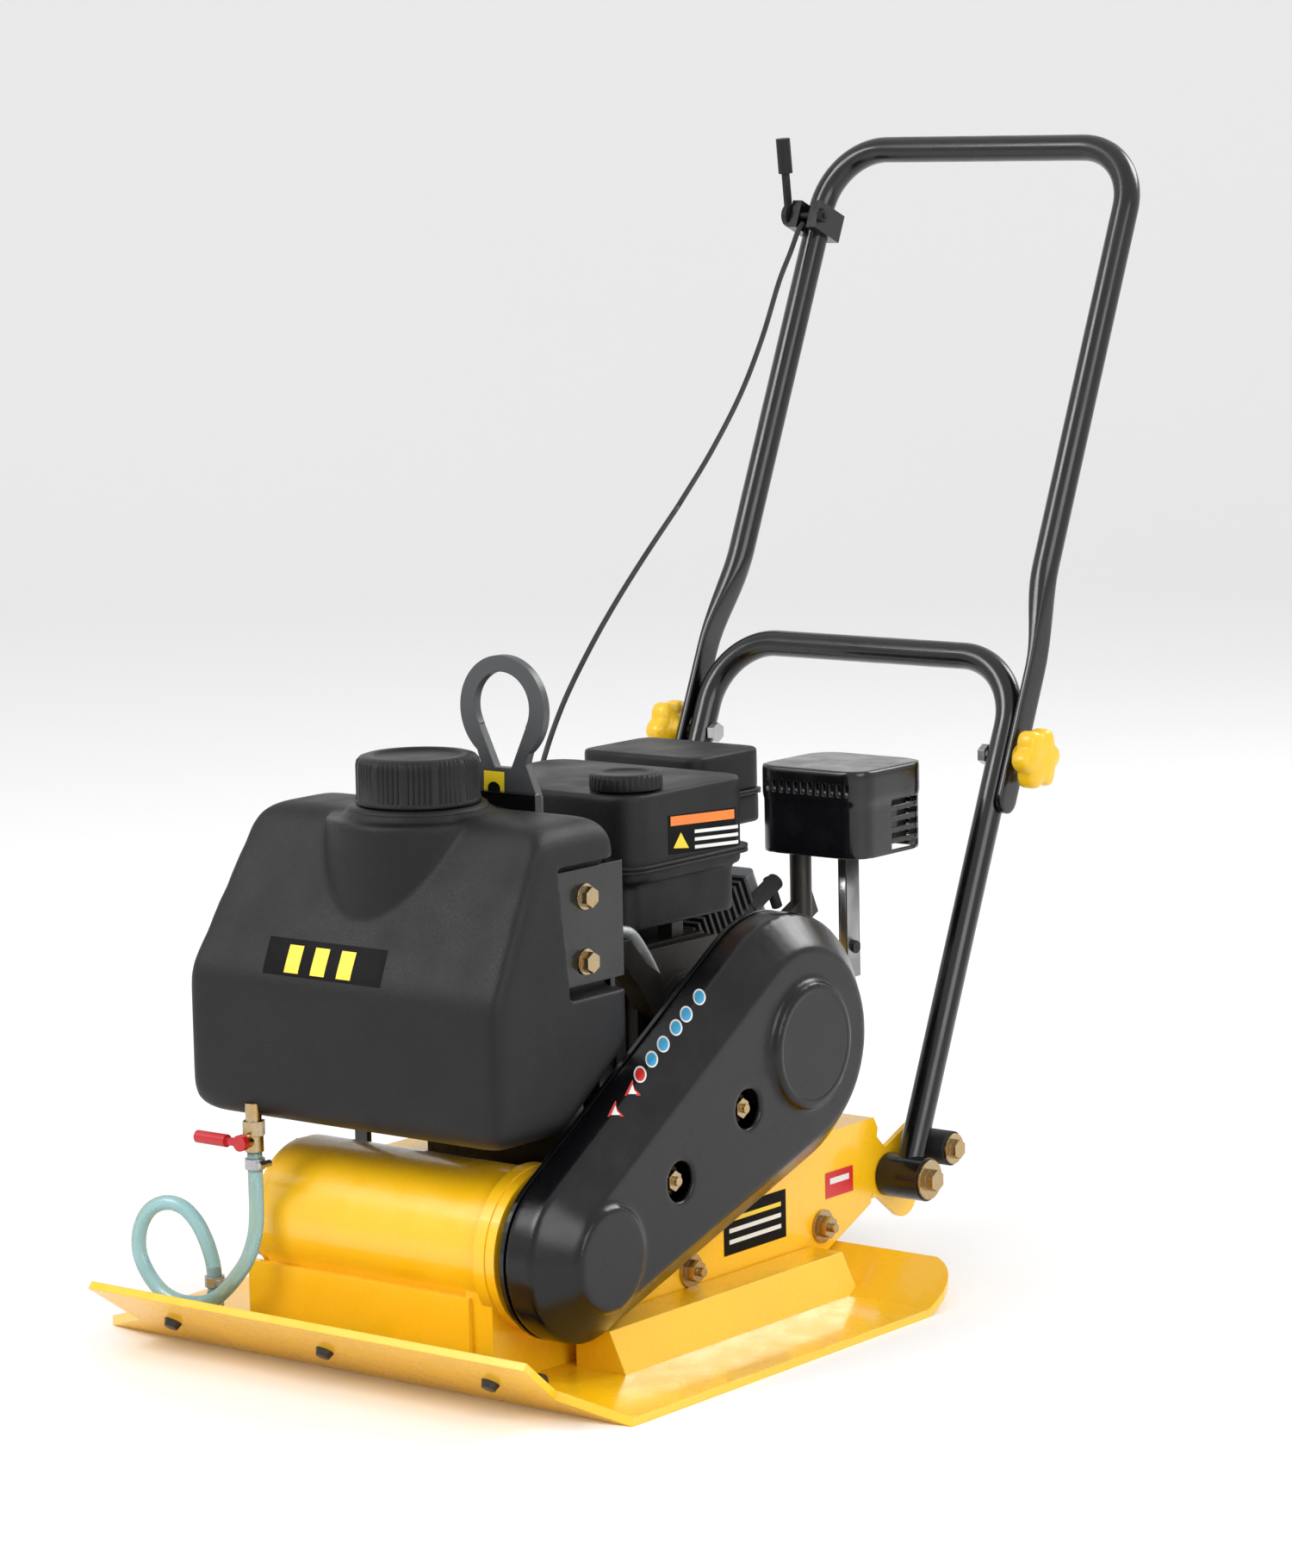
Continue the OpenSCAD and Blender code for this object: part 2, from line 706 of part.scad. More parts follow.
module engine_bed() color(YELLOW) {
    difference() {
        union() {
            translate([-bed_half_w, -56, bed_z0]) cube([2 * bed_half_w, 382, bed_z1 - bed_z0]);
            along_x(bed_half_w - side_t, bed_half_w) bed_side();
            along_x(-bed_half_w, side_t - bed_half_w) bed_side();
            translate([-bed_half_w + 1, 322, 100]) cube([2 * bed_half_w - 2, 5, 38]);
        }
        for (x = [-66, 64], y = [84, 190])
            translate([x, y, bed_z0 - 1]) cylinder(h = 10, r = 4.3);
    }
}

module rubber_mounts() color(RUBBER) {
    both_sides()
        for (y = mount_y)
            difference() {
                rod_x(buffer_x0, bed_half_w - side_t, mount_r, [y, mount_z]);
                rod_x(buffer_x0 - 1, bed_half_w, 4, [y, mount_z]);
            }
}

module frame_bolts() color(ZINC) {
    both_sides()
        for (y = mount_y) {
            c = [y, mount_z];
            rod_x(buffer_x0 - 16, bed_half_w + 16, 4, c);
            hex_x(buffer_x0 - 13, buffer_x0 - 6, 8, c);
            rod_x(bed_half_w, bed_half_w + 2.5, 15, c);
            hex_x(bed_half_w + 2.5, bed_half_w + 10.5, 10, c);
        }
    for (x = [-66, 64], y = [84, 190]) translate([x, y, 0]) {
        translate([0, 0, bed_z0 - 7]) cylinder(h = 7, r = 8, $fn = 6);
        translate([0, 0, bed_z0 - 1]) cylinder(h = 40, r = 4);
    }
}

// ---- belt guard ----

module guard_solid(inset) {
    hull() {
        along_x(guard_x0, guard_x1) belt_outline(guard_small_r - inset, guard_big_r - inset);
        along_x(guard_x0, guard_face_x - inset)
            belt_outline(guard_small_r - guard_inset - inset / 2, guard_big_r - guard_inset - inset / 2);
    }
    rod_x(guard_x0, bulge_x - inset, big_disc_r - inset, clutch_c);
    rod_x(guard_x0, bulge_x - 2 - inset, small_disc_r - inset, exciter_c);
}

function guard_bolt(t) = exciter_c + (clutch_c - exciter_c) * t;

module belt_guard() color(INK) {
    difference() {
        guard_solid(0);
        difference() {
            translate([-0.5, 0, 0]) guard_solid(guard_wall);
            for (t = guard_bolt_steps) rod_x(196, guard_face_x, 20, guard_bolt(t));
        }
        for (t = guard_bolt_steps) rod_x(200, guard_face_x + 5, 17, guard_bolt(t));
        for (t = guard_bolt_steps) rod_x(190, guard_face_x, 4.3, guard_bolt(t));
    }
}

module guard_backplate() color(INK) {
    difference() {
        union() {
            along_x(guard_x0 - 4, guard_x0) belt_outline(guard_small_r, guard_big_r);
            for (t = guard_bolt_steps) rod_x(guard_x0 - 1, 196, 9, guard_bolt(t));
            tube_x(case_x1 + 20.05, guard_x0 - 3, 52, 46, clutch_c);
        }
        rod_x(guard_x0 - 5, guard_x0 + 1, 24, exciter_c);
        rod_x(guard_x0 - 5, guard_x0 + 1, 30, clutch_c);
        for (t = guard_bolt_steps) rod_x(guard_x0 - 5, 197, 4, guard_bolt(t));
    }
}

module guard_bolts() color(ZINC) {
    for (t = guard_bolt_steps) {
        rod_x(guard_x0 + 2, 201, 3.95, guard_bolt(t));
        rod_x(200, 202, 14, guard_bolt(t));
        hex_x(202, 210, 9, guard_bolt(t));
        rod_x(209, 214, 4, guard_bolt(t));
    }
}

// ---- water tank ----

tank_y0 = -227;
tank_y1 = -52;
knuckle_z = 327;
tank_z1 = 468;
cap_c = [0, -117];
turret_r = 79;

// Round corners of the tank's side outline: (y, z, radius, first angle, last angle)
tank_side_corners = [
    [-205, 230, 22, 180, 270], [-150, 230, 22, 270, 307], [tank_y1 - 18, 283, 18, 307, 360],
    [tank_y1 - 24, tank_z1 - 24, 24, 0, 90], [-130, tank_z1 - 28, 28, 90, 151],
    [tank_y0 + 30, knuckle_z - 2, 30, 151, 180]
];
// Round corners of the right half of its front outline: (x, z, radius, first angle, last angle)
tank_front_corners = [
    [tank_half_w - 22, 230, 22, 270, 360], [tank_half_w - 26, knuckle_z, 26, 0, 5],
    [tank_top_half_w - 24, tank_z1 - 24, 24, 5, 90]
];

function rounded(corners, inset) =
    [for (c = corners) each arc([c[0], c[1]], c[2] - inset, c[3], c[4], 6)];
function mirrored(points) =
    concat(points, [for (i = [len(points) - 1:-1:0]) [-points[i][0], points[i][1]]]);

module tank_body(inset) {
    intersection() {
        along_x(-200, 200) polygon(rounded(tank_side_corners, inset));
        along_y(-300, 0) polygon(mirrored(rounded(tank_front_corners, inset)));
    }
}

module tank_recess(grow) {
    both_sides()
        translate([146 - grow, -130 - grow, 322 - grow]) cube([60, 100, 110 + 2 * grow]);
}

module water_tank() color(INK) {
    difference() {
        union() {
            tank_body(0);
            translate([cap_c[0], cap_c[1], 330]) cylinder(h = 134, r = turret_r);
            translate([cap_c[0], cap_c[1], 460]) cylinder(h = 14, r = 58);
            translate([cap_c[0], cap_c[1], 470]) cylinder(h = 26, r = 44);
        }
        difference() {
            union() {
                tank_body(tank_wall);
                translate([cap_c[0], cap_c[1], 334]) cylinder(h = 126, r = turret_r - tank_wall);
            }
            tank_recess(tank_wall);
            translate([-100, tank_y1 - tank_wall, 320]) cube([200, 60, 150]);
        }
        tank_recess(0);
        translate([-100, tank_y1, 320]) cube([200, 60, 160]);
        translate([cap_c[0], cap_c[1], 440]) cylinder(h = 60, r = 40);
        translate([valve_c[0], valve_c[1], 200]) cylinder(h = 30, r = 7.2);
        for (z = [347, 402]) tank_bolt_hole(z);
    }
}

module tank_bolt_hole(z) {
    both_sides() rod_x(140, 152, 4.3, [-85, z]);
}

module water_cap() color(INK) {
    translate([cap_c[0], cap_c[1], 474.4]) difference() {
        cylinder(h = 41, r = cap_d / 2);
        translate([0, 0, -1]) cylinder(h = 36, r = 44.5);
        for (a = [0:15:345]) rotate(a) translate([cap_d / 2 + 1, 0, -1]) cylinder(h = 37, r = 3);
    }
}

module tank_brackets() color(INK) {
    both_sides() difference() {
        union() {
            translate([146.1, -122, 328]) cube([5, 88, 98]);
            translate([132, -46, 140]) cube([14, 6, 286]);
            translate([132, -46, 328]) cube([19, 12, 98]);
        }
        for (z = [347, 402]) rod_x(140, 155, 4.3, [-85, z]);
    }
}

module tank_bolts() color(ZINC) {
    both_sides() for (z = [347, 402]) {
        rod_x(142.2, 152, 4, [-85, z]);
        rod_x(151.1, 153, 11, [-85, z]);
        hex_x(153, 160, 9, [-85, z]);
    }
}

module water_valve() color(ZINC) {
    translate(valve_c) difference() {
        union() {
            cylinder(h = 24, r = 7);
            translate([0, 0, -4]) cylinder(h = 12.5, r = 10, $fn = 6);
            translate([0, 0, -18]) cylinder(h = 16, r = 8);
            translate([0, 0, -36]) cylinder(h = 20, r = 4.3);
            translate([0, 0, -8]) rotate([90, 0, 0]) cylinder(h = valve_stem, r = 5.5);
        }
        translate([0, 0, -37]) cylinder(h = 70, r = 3);
    }
}

module valve_lever() color([0.72, 0.06, 0.08]) {
    translate(valve_c - [0, valve_stem + 0.3, 8]) {
        rotate([90, 0, 0]) cylinder(h = 6, r = 7);
        translate([-20, -5.5, -3]) cube([20, 5, 6]);
        translate([-16, -3, 0]) rotate([0, -90, 0]) cylinder(h = 34, r = 5.5);
    }
}

module water_hose() color([0.45, 0.62, 0.63, 0.8]) {
    difference() {
        sweep_tube(hose_route, hose_r, 10, 3, [0, 1, 0]);
        translate([valve_c[0], valve_c[1], valve_c[2] - 38]) cylinder(h = 40, r = 4.3);
        translate([inlet_x, bar_c[0], bar_c[1] + 20]) cylinder(h = 50, r = 4.3);
    }
}

module hose_fitting() color(STEEL) {
    translate([inlet_x, bar_c[0], bar_c[1] + 14]) difference() {
        union() {
            cylinder(h = 12, r = 8, $fn = 6);
            cylinder(h = 33, r = 4.3);
        }
        translate([0, 0, -1]) cylinder(h = 40, r = 2.6);
    }
    for (c = [[inlet_x, bar_c[0], 54], [valve_c[0], valve_c[1], 166]]) translate(c) {
        difference() {
            cylinder(h = 9, r = 8.6);
            translate([0, 0, -1]) cylinder(h = 11, r = hose_r + 0.1);
        }
        translate([9.5, -6, 4.5]) rotate([-90, 0, 0]) cylinder(h = 14, r = 3);
    }
}

// ---- lifting frame ----

eye_x = 29;
eye_t = 8;

module lifting_frame() color(INK) {
    difference() {
        union() {
            along_y(-48, -40) polygon([[-60, 140], [118, 140], [118, 200], [70, 430], [70, 476],
                [-14, 476], [-14, 430], [-60, 200]]);
            translate([-60, -48, 140]) cube([178, 60, 6]);
        }
        translate([eye_x - 30, -50, 210]) cube([44, 20, 190]);
    }
}

module lifting_eye() color([0.28, 0.28, 0.29]) {
    difference() {
        union() {
            along_y(-40, -40 + eye_t) translate([eye_x, 546]) circle(r = 46);
            along_y(-40, -40 + eye_t)
                polygon([[-8, 420], [66, 420], [66, 472], [54, 500], [64, 530], [-6, 530], [4, 500],
                    [-8, 472]]);
        }
        along_y(-42, -38 + eye_t) translate([eye_x, 548]) circle(r = 30);
        along_y(-42, -38 + eye_t) polygon([[3, 532], [55, 532], [38, 496], [20, 496]]);
        for (z = [434, 458]) translate([eye_x, 0, z]) rotate([90, 0, 0]) cylinder(h = 60, r = 5);
    }
}

// ---- handle ----

// Bent U of round tube in the leg frame: legs at +-half, from y0 up to the bar at y1
module hoop(half, y0, y1, bend, r) {
    both_sides() {
        translate([half, y0, 0]) rotate([-90, 0, 0]) cylinder(h = y1 - bend - y0, r = r);
        translate([half - bend, y1 - bend, 0])
            rotate_extrude(angle = 90) translate([bend, 0]) circle(r = r);
    }
    translate([bend - half, y1, 0]) rotate([0, 90, 0]) cylinder(h = 2 * (half - bend), r = r);
}

lower_foot = -norm(knob - pivot);
lower_rise = norm(lower_top - knob);
upper_rise = norm([upper_top_y, grip_z] - knob);

module handle_lower() color(INK) {
    difference() {
        union() {
            leg_frame() hoop(lower_half_w, lower_foot, lower_rise, lower_bend_r, tube_d / 2);
            both_sides() rod_x(sleeve_x0, sleeve_x1, sleeve_r, pivot);
        }
        leg_frame() hoop(lower_half_w, lower_foot + sleeve_r, lower_rise, lower_bend_r,
            tube_d / 2 - tube_wall);
        both_sides() rod_x(sleeve_x0 - 1, sleeve_x1 + 1, 16, pivot);
        both_sides() rod_x(140, 200, knob_bolt_r + 0.1, knob);
    }
}

module pivot_bushes() color(RUBBER) {
    both_sides() tube_x(sleeve_x0, sleeve_x1, 16, pivot_bolt_r + bush_play, pivot);
}

module pivot_bolts() color(ZINC) {
    both_sides() {
        rod_x(138, 202, pivot_bolt_r, pivot);
        rod_x(sleeve_x1 + 0.3, 198, 18, pivot);
        hex_x(198, 206, 10, pivot);
        hex_x(136, 144.9, 10, pivot);
        rod_x(138, 202, 5, stopper);
        rod_x(195.2, 198, 14, stopper);
        hex_x(198, 204, 9, stopper);
        hex_x(137, 144.9, 9, stopper);
    }
}

module stop_buffers() color(RUBBER) {
    both_sides() tube_x(bed_half_w + 0.1, 195, buffer_r, 5.1, stopper);
}

module handle_upper() color(INK) {
    leg_frame() difference() {
        union() {
            hoop(upper_half_w, 92, upper_rise, upper_bend_r, tube_d / 2);
            both_sides() {
                translate([flat_x0, -leg_tail + 14, -14]) cube([flat_t, leg_tail + flat_up - 14, 28]);
                translate([flat_x0, -leg_tail + 14, 0]) rotate([0, 90, 0]) cylinder(h = flat_t, r = 14);
            }
        }
        hoop(upper_half_w, 110, upper_rise, upper_bend_r, tube_d / 2 - tube_wall);
        both_sides() translate([180, 0, 0]) rotate([0, 90, 0]) cylinder(h = 20, r = knob_bolt_r + 0.1);
    }
}

module star_knob() {
    difference() {
        union() {
            rod_x(201, 222, 20, knob);
            for (a = [0:60:300]) rod_x(203, 222, 9.5, polar(knob, 20, a));
            rod_x(193.6, 202, 13, knob);
        }
        rod_x(193, 216, knob_bolt_r + 0.05, knob);
    }
}

module knob_right() color(YELLOW) star_knob();

module knob_left() color(YELLOW) mirror([1, 0, 0]) star_knob();

module knob_bolts() color(STEEL) {
    both_sides() {
        rod_x(153, 215, knob_bolt_r, knob);
        hex_x(153, 160, 9.5, knob);
    }
}

// ---- throttle ----

module leg_clamp_frame() {
    leg_frame() translate([-upper_half_w, norm([706, 933] - knob), 0]) children();
}

module throttle_bracket() color(INK) {
    leg_clamp_frame() difference() {
        union() {
            translate([-17, -14, -17]) cube([34, 28, 34]);
            translate([-17, -14, 12]) cube([34, 28, 14]);
        }
        rotate([90, 0, 0]) cylinder(h = 60, r = tube_d / 2 + 0.05, center = true);
        translate([-6, -20, 12]) cube([12, 40, 20]);
        translate([-20, 0, 21]) rotate([0, 90, 0]) cylinder(h = 40, r = 3.2);
    }
}

module throttle_lever() color(INK) {
    leg_clamp_frame() {
        translate([-28, 0, 21]) rotate([0, 90, 0]) cylinder(h = 52, r = 3);
        translate([-23, 0, 21]) rotate([0, 90, 0]) cylinder(h = 5.8, r = 11);
        translate([-23, 0, 17]) rotate([30, 0, 0]) cube([4, 46, 8]);
        translate([-21, 36, 42]) rotate([-60, 0, 0]) cylinder(h = 34, r = 7);
        translate([17.3, 0, 21]) rotate([0, 90, 0]) cylinder(h = 5, r = 7, $fn = 6);
    }
}

module throttle_cable_upper() color(INK) sweep_tube(cable_top_route, cable_r, 8, 4, [1, 0, 0]);

module throttle_cable_lower() color(INK) sweep_tube(cable_low_route, cable_r, 8, 4, [1, 0, 0]);

base_plate();
spray_bar();
lip_bolts();
exciter_housing();
exciter_cover_left();
exciter_cover_right();
cover_bolts();
exciter_bearings();
eccentric_shaft();
exciter_pulley();
drive_belt();
clutch_pulley();
clutch_hub();
crankshaft();
flywheel();
crankcase();
crankcase_cover();
cylinder_block();  // cylinder
rocker_cover();
spark_plug();
recoil_starter();
starter_grip();
fuel_tank();
fuel_cap();
carburettor();
air_cleaner();
muffler();
muffler_guard();
choke_lever();
throttle_arm();
engine_switch();
dipstick();
engine_bed();
rubber_mounts();
frame_bolts();
belt_guard();
guard_backplate();
guard_bolts();
water_tank();
water_cap();
tank_brackets();
tank_bolts();
water_valve();
valve_lever();
water_hose();
hose_fitting();
lifting_frame();
lifting_eye();
handle_lower();
pivot_bushes();
pivot_bolts();
stop_buffers();
handle_upper();
knob_left();
knob_right();
knob_bolts();
throttle_bracket();
throttle_lever();
throttle_cable_upper();
throttle_cable_lower();
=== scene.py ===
import json
import math

import bmesh
import bpy
import numpy as np
from mathutils import Matrix, Vector
from mathutils.bvhtree import BVHTree


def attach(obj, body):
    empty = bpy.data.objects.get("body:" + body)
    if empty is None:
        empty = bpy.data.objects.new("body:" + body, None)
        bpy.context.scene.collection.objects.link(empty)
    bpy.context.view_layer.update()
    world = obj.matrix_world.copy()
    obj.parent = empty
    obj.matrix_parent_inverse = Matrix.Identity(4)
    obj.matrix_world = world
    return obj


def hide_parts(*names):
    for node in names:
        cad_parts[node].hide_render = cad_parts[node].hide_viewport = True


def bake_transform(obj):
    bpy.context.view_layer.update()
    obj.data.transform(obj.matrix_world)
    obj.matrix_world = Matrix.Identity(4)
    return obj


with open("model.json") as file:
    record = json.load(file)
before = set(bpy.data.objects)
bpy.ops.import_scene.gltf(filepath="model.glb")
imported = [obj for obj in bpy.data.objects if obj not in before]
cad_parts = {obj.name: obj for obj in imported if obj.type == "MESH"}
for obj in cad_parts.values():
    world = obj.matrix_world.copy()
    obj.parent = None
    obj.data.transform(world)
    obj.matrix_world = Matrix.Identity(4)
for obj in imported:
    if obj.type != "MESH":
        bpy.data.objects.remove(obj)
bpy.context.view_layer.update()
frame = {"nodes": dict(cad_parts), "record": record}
NODES = frame["nodes"]
SCENE = bpy.context.scene
MM = 0.001

# ---------------------------------------------------------------- camera

SENSOR, LENS = 36, 109.86
CAM_AT = Vector((2.6123, -3.1330, 1.0568))
AZ, EL, ROLL = math.radians(38.145), math.radians(8.157), math.radians(-1.134)

back = Vector((math.sin(AZ) * math.cos(EL), -math.cos(AZ) * math.cos(EL), math.sin(EL)))
flat_right = Vector((math.cos(AZ), math.sin(AZ), 0))
flat_up = back.cross(flat_right)
cam_right = math.cos(ROLL) * flat_right + math.sin(ROLL) * flat_up
cam_up = math.cos(ROLL) * flat_up - math.sin(ROLL) * flat_right

cam_data = bpy.data.cameras.new("camera")
cam_data.sensor_width = SENSOR
cam_data.lens = LENS
cam_data.clip_end = 50
camera = bpy.data.objects.new("camera", cam_data)
SCENE.collection.objects.link(camera)
camera.matrix_world = Matrix((
    (cam_right.x, cam_up.x, back.x, CAM_AT.x),
    (cam_right.y, cam_up.y, back.y, CAM_AT.y),
    (cam_right.z, cam_up.z, back.z, CAM_AT.z),
    (0, 0, 0, 1)))
SCENE.camera = camera


# ---------------------------------------------------------------- mesh helpers

def make(name, verts, faces, smooth=True):
    """New object from points in millimetres."""
    mesh = bpy.data.meshes.new(name)
    mesh.from_pydata([Vector(v) * MM for v in verts], [], faces)
    mesh.update()
    obj = bpy.data.objects.new(name, mesh)
    SCENE.collection.objects.link(obj)
    for p in mesh.polygons:
        p.use_smooth = smooth
    return obj


def arc(c, r, a0, a1, n=8):
    return [(c[0] + r * math.cos(math.radians(a0 + (a1 - a0) * i / n)),
             c[1] + r * math.sin(math.radians(a0 + (a1 - a0) * i / n))) for i in range(n + 1)]


def prism(name, outline, axis, lo, hi):
    """Extrudes a flat outline along an axis: x takes (y, z), y takes (x, z), z takes (x, y)."""
    def put(p, h):
        return {"x": (h, p[0], p[1]), "y": (p[0], h, p[1]), "z": (p[0], p[1], h)}[axis]
    n = len(outline)
    verts = [put(p, lo) for p in outline] + [put(p, hi) for p in outline]
    faces = [list(range(n))[::-1], list(range(n, 2 * n))]
    faces += [[i, (i + 1) % n, n + (i + 1) % n, n + i] for i in range(n)]
    obj = make(name, verts, faces)
    fix_normals(obj)
    return obj


def fix_normals(obj):
    bm = bmesh.new()
    bm.from_mesh(obj.data)
    bmesh.ops.remove_doubles(bm, verts=bm.verts, dist=1e-6)
    bmesh.ops.recalc_face_normals(bm, faces=bm.faces)
    bm.to_mesh(obj.data)
    bm.free()


def round_rect(x0, y0, x1, y1, r, n=6):
    return (arc((x1 - r, y0 + r), r, -90, 0, n) + arc((x1 - r, y1 - r), r, 0, 90, n)
            + arc((x0 + r, y1 - r), r, 90, 180, n) + arc((x0 + r, y0 + r), r, 180, 270, n))


def block(name, lo, hi, r=0.5):
    return prism(name, round_rect(lo[0], lo[1], hi[0], hi[1], r), "z", lo[2], hi[2])


def disc(name, c, r, axis, lo, hi, n=64):
    return prism(name, arc(c, r, 0, 360 * (n - 1) / n, n - 1), axis, lo, hi)


def drop(obj):
    bpy.data.objects.remove(obj)


def bake(obj):
    """Applies the modifiers."""
    deps = bpy.context.evaluated_depsgraph_get()
    mesh = bpy.data.meshes.new_from_object(obj.evaluated_get(deps))
    obj.modifiers.clear()
    obj.data = mesh
    for p in mesh.polygons:
        p.use_smooth = True
    return obj


def boolean(obj, others, how="DIFFERENCE"):
    for o in others:
        m = obj.modifiers.new("cut", "BOOLEAN")
        m.operation = how
        m.object = o
        m.solver = "EXACT"
    bake(obj)
    for o in others:
        drop(o)
    return obj


def join(name, parts):
    """One object from several."""
    bm = bmesh.new()
    for p in parts:
        bm.from_mesh(p.data)
    mesh = bpy.data.meshes.new(name)
    bm.to_mesh(mesh)
    bm.free()
    for p in parts:
        drop(p)
    obj = bpy.data.objects.new(name, mesh)
    SCENE.collection.objects.link(obj)
    for p in mesh.polygons:
        p.use_smooth = True
    return obj


def soften(obj, voxel, rounds):
    """Moulded look: one skin with rounded edges."""
    m = obj.modifiers.new("skin", "REMESH")
    m.mode = "VOXEL"
    m.voxel_size = voxel * MM
    s = obj.modifiers.new("round", "SMOOTH")
    s.factor = 0.5
    s.iterations = rounds
    return bake(obj)


def lathe(name, profile, centre, axis="z", n=96, wave=None):
    """Turned shape. profile is (radius, height); wave(radius, height, angle) changes the radius."""
    verts, faces = [], []
    for r, h in profile:
        for k in range(n):
            a = 2 * math.pi * k / n
            rr = wave(r, h, a) if wave else r
            p, q = rr * math.cos(a), rr * math.sin(a)
            local = {"z": (p, q, h), "x": (h, p, q), "-x": (-h, p, q), "y": (p, h, q)}[axis]
            verts.append([centre[i] + local[i] for i in range(3)])
    for i in range(len(profile) - 1):
        for k in range(n):
            faces.append([i * n + k, i * n + (k + 1) % n, (i + 1) * n + (k + 1) % n, (i + 1) * n + k])
    faces.append([k for k in range(n)][::-1])
    faces.append([(len(profile) - 1) * n + k for k in range(n)])
    obj = make(name, verts, faces)
    fix_normals(obj)
    return obj


def spline_points(points, steps):
    """The same smooth route as the CAD tube's."""
    p = [np.array(q, float) for q in points]
    out = []
    for i in range(len(p) - 1):
        a, b, c, d = p[max(0, i - 1)], p[i], p[i + 1], p[min(len(p) - 1, i + 2)]
        for k in range(steps):
            t = k / steps
            out.append(0.5 * (2 * b + (c - a) * t + (2 * a - 5 * b + 4 * c - d) * t * t
                              + (3 * b - a - 3 * c + d) * t ** 3))
    return out + [p[-1]]


def tube(name, points, r, steps=6, sides=20, side=(0, 1, 0)):
    """Round tube along a route in millimetres, with closed ends. Returns it and its route."""
    line = spline_points(points, steps)
    verts, faces = [], []
    ref = np.array(side, float)
    for i, c in enumerate(line):
        t = line[min(i + 1, len(line) - 1)] - line[max(i - 1, 0)]
        t /= np.linalg.norm(t)
        u = np.cross(ref, t)
        u /= np.linalg.norm(u)
        v = np.cross(t, u)
        ref = -v if np.dot(-v, ref) > 0 else v
        for k in range(sides):
            a = 2 * math.pi * k / sides
            verts.append(c + r * (u * math.cos(a) + v * math.sin(a)))
    for i in range(len(line) - 1):
        for k in range(sides):
            faces.append([i * sides + k, i * sides + (k + 1) % sides,
                          (i + 1) * sides + (k + 1) % sides, (i + 1) * sides + k])
    faces.append(list(range(sides))[::-1])
    faces.append([(len(line) - 1) * sides + k for k in range(sides)])
    obj = make(name, verts, faces)
    fix_normals(obj)
    return obj, line


# ---------------------------------------------------------------- materials

def link(tree, a, b):
    tree.links.new(a, b)


def noise(tree, coords, scale, detail=4.0):
    n = tree.nodes.new("ShaderNodeTexNoise")
    n.inputs["Scale"].default_value = scale
    n.inputs["Detail"].default_value = detail
    link(tree, coords, n.inputs["Vector"])
    return n.outputs["Fac"]


def ranged(tree, value, lo, hi, a=0.3, b=0.7):
    m = tree.nodes.new("ShaderNodeMapRange")
    m.inputs["From Min"].default_value = a
    m.inputs["From Max"].default_value = b
    m.inputs["To Min"].default_value = lo
    m.inputs["To Max"].default_value = hi
    link(tree, value, m.inputs["Value"])
    return m.outputs["Result"]


def blend_colour(tree, fac, a, b):
    m = tree.nodes.new("ShaderNodeMix")
    m.data_type = "RGBA"
    m.inputs[6].default_value = (*a, 1)
    m.inputs[7].default_value = (*b, 1)
    link(tree, fac, m.inputs[0])
    return m.outputs[2]


def finish_material(name, rgb, rough, metallic=0.0, grain=900, grain_height=0.02, spread=0.1,
                    mottle=9, other=None, edge=0.8, coat=0.0, see_through=0.0,
                    ripple=0.0, specular=0.5):
    """Procedural finish: mottled colour, uneven gloss, a fine grain and soft edges."""
    m = bpy.data.materials.new(name)
    m.use_nodes = True
    t = m.node_tree
    shader = t.nodes["Principled BSDF"]
    coords = t.nodes.new("ShaderNodeTexCoord").outputs["Object"]
    other = other or [c * 0.82 for c in rgb]
    colour = blend_colour(t, ranged(t, noise(t, coords, mottle, 6), 0, 1), other, rgb)
    link(t, colour, shader.inputs["Base Color"])
    link(t, ranged(t, noise(t, coords, mottle * 4, 8), rough - spread, rough + spread),
         shader.inputs["Roughness"])
    shader.inputs["Metallic"].default_value = metallic
    shader.inputs["Coat Weight"].default_value = coat
    shader.inputs["Coat Roughness"].default_value = 0.08
    shader.inputs["Transmission Weight"].default_value = see_through
    shader.inputs["Specular IOR Level"].default_value = specular
    bevel = t.nodes.new("ShaderNodeBevel")
    bevel.samples = 4
    bevel.inputs["Radius"].default_value = edge * MM
    bump = t.nodes.new("ShaderNodeBump")
    bump.inputs["Strength"].default_value = 0.6
    bump.inputs["Distance"].default_value = grain_height * MM * 10
    link(t, noise(t, coords, grain, 3), bump.inputs["Height"])
    link(t, bevel.outputs["Normal"], bump.inputs["Normal"])
    last = bump
    if ripple:
        wide = t.nodes.new("ShaderNodeBump")
        wide.inputs["Strength"].default_value = 0.5
        wide.inputs["Distance"].default_value = ripple * MM
        link(t, noise(t, coords, 45, 2), wide.inputs["Height"])
        link(t, bump.outputs["Normal"], wide.inputs["Normal"])
        last = wide
    link(t, last.outputs["Normal"], shader.inputs["Normal"])
    return m


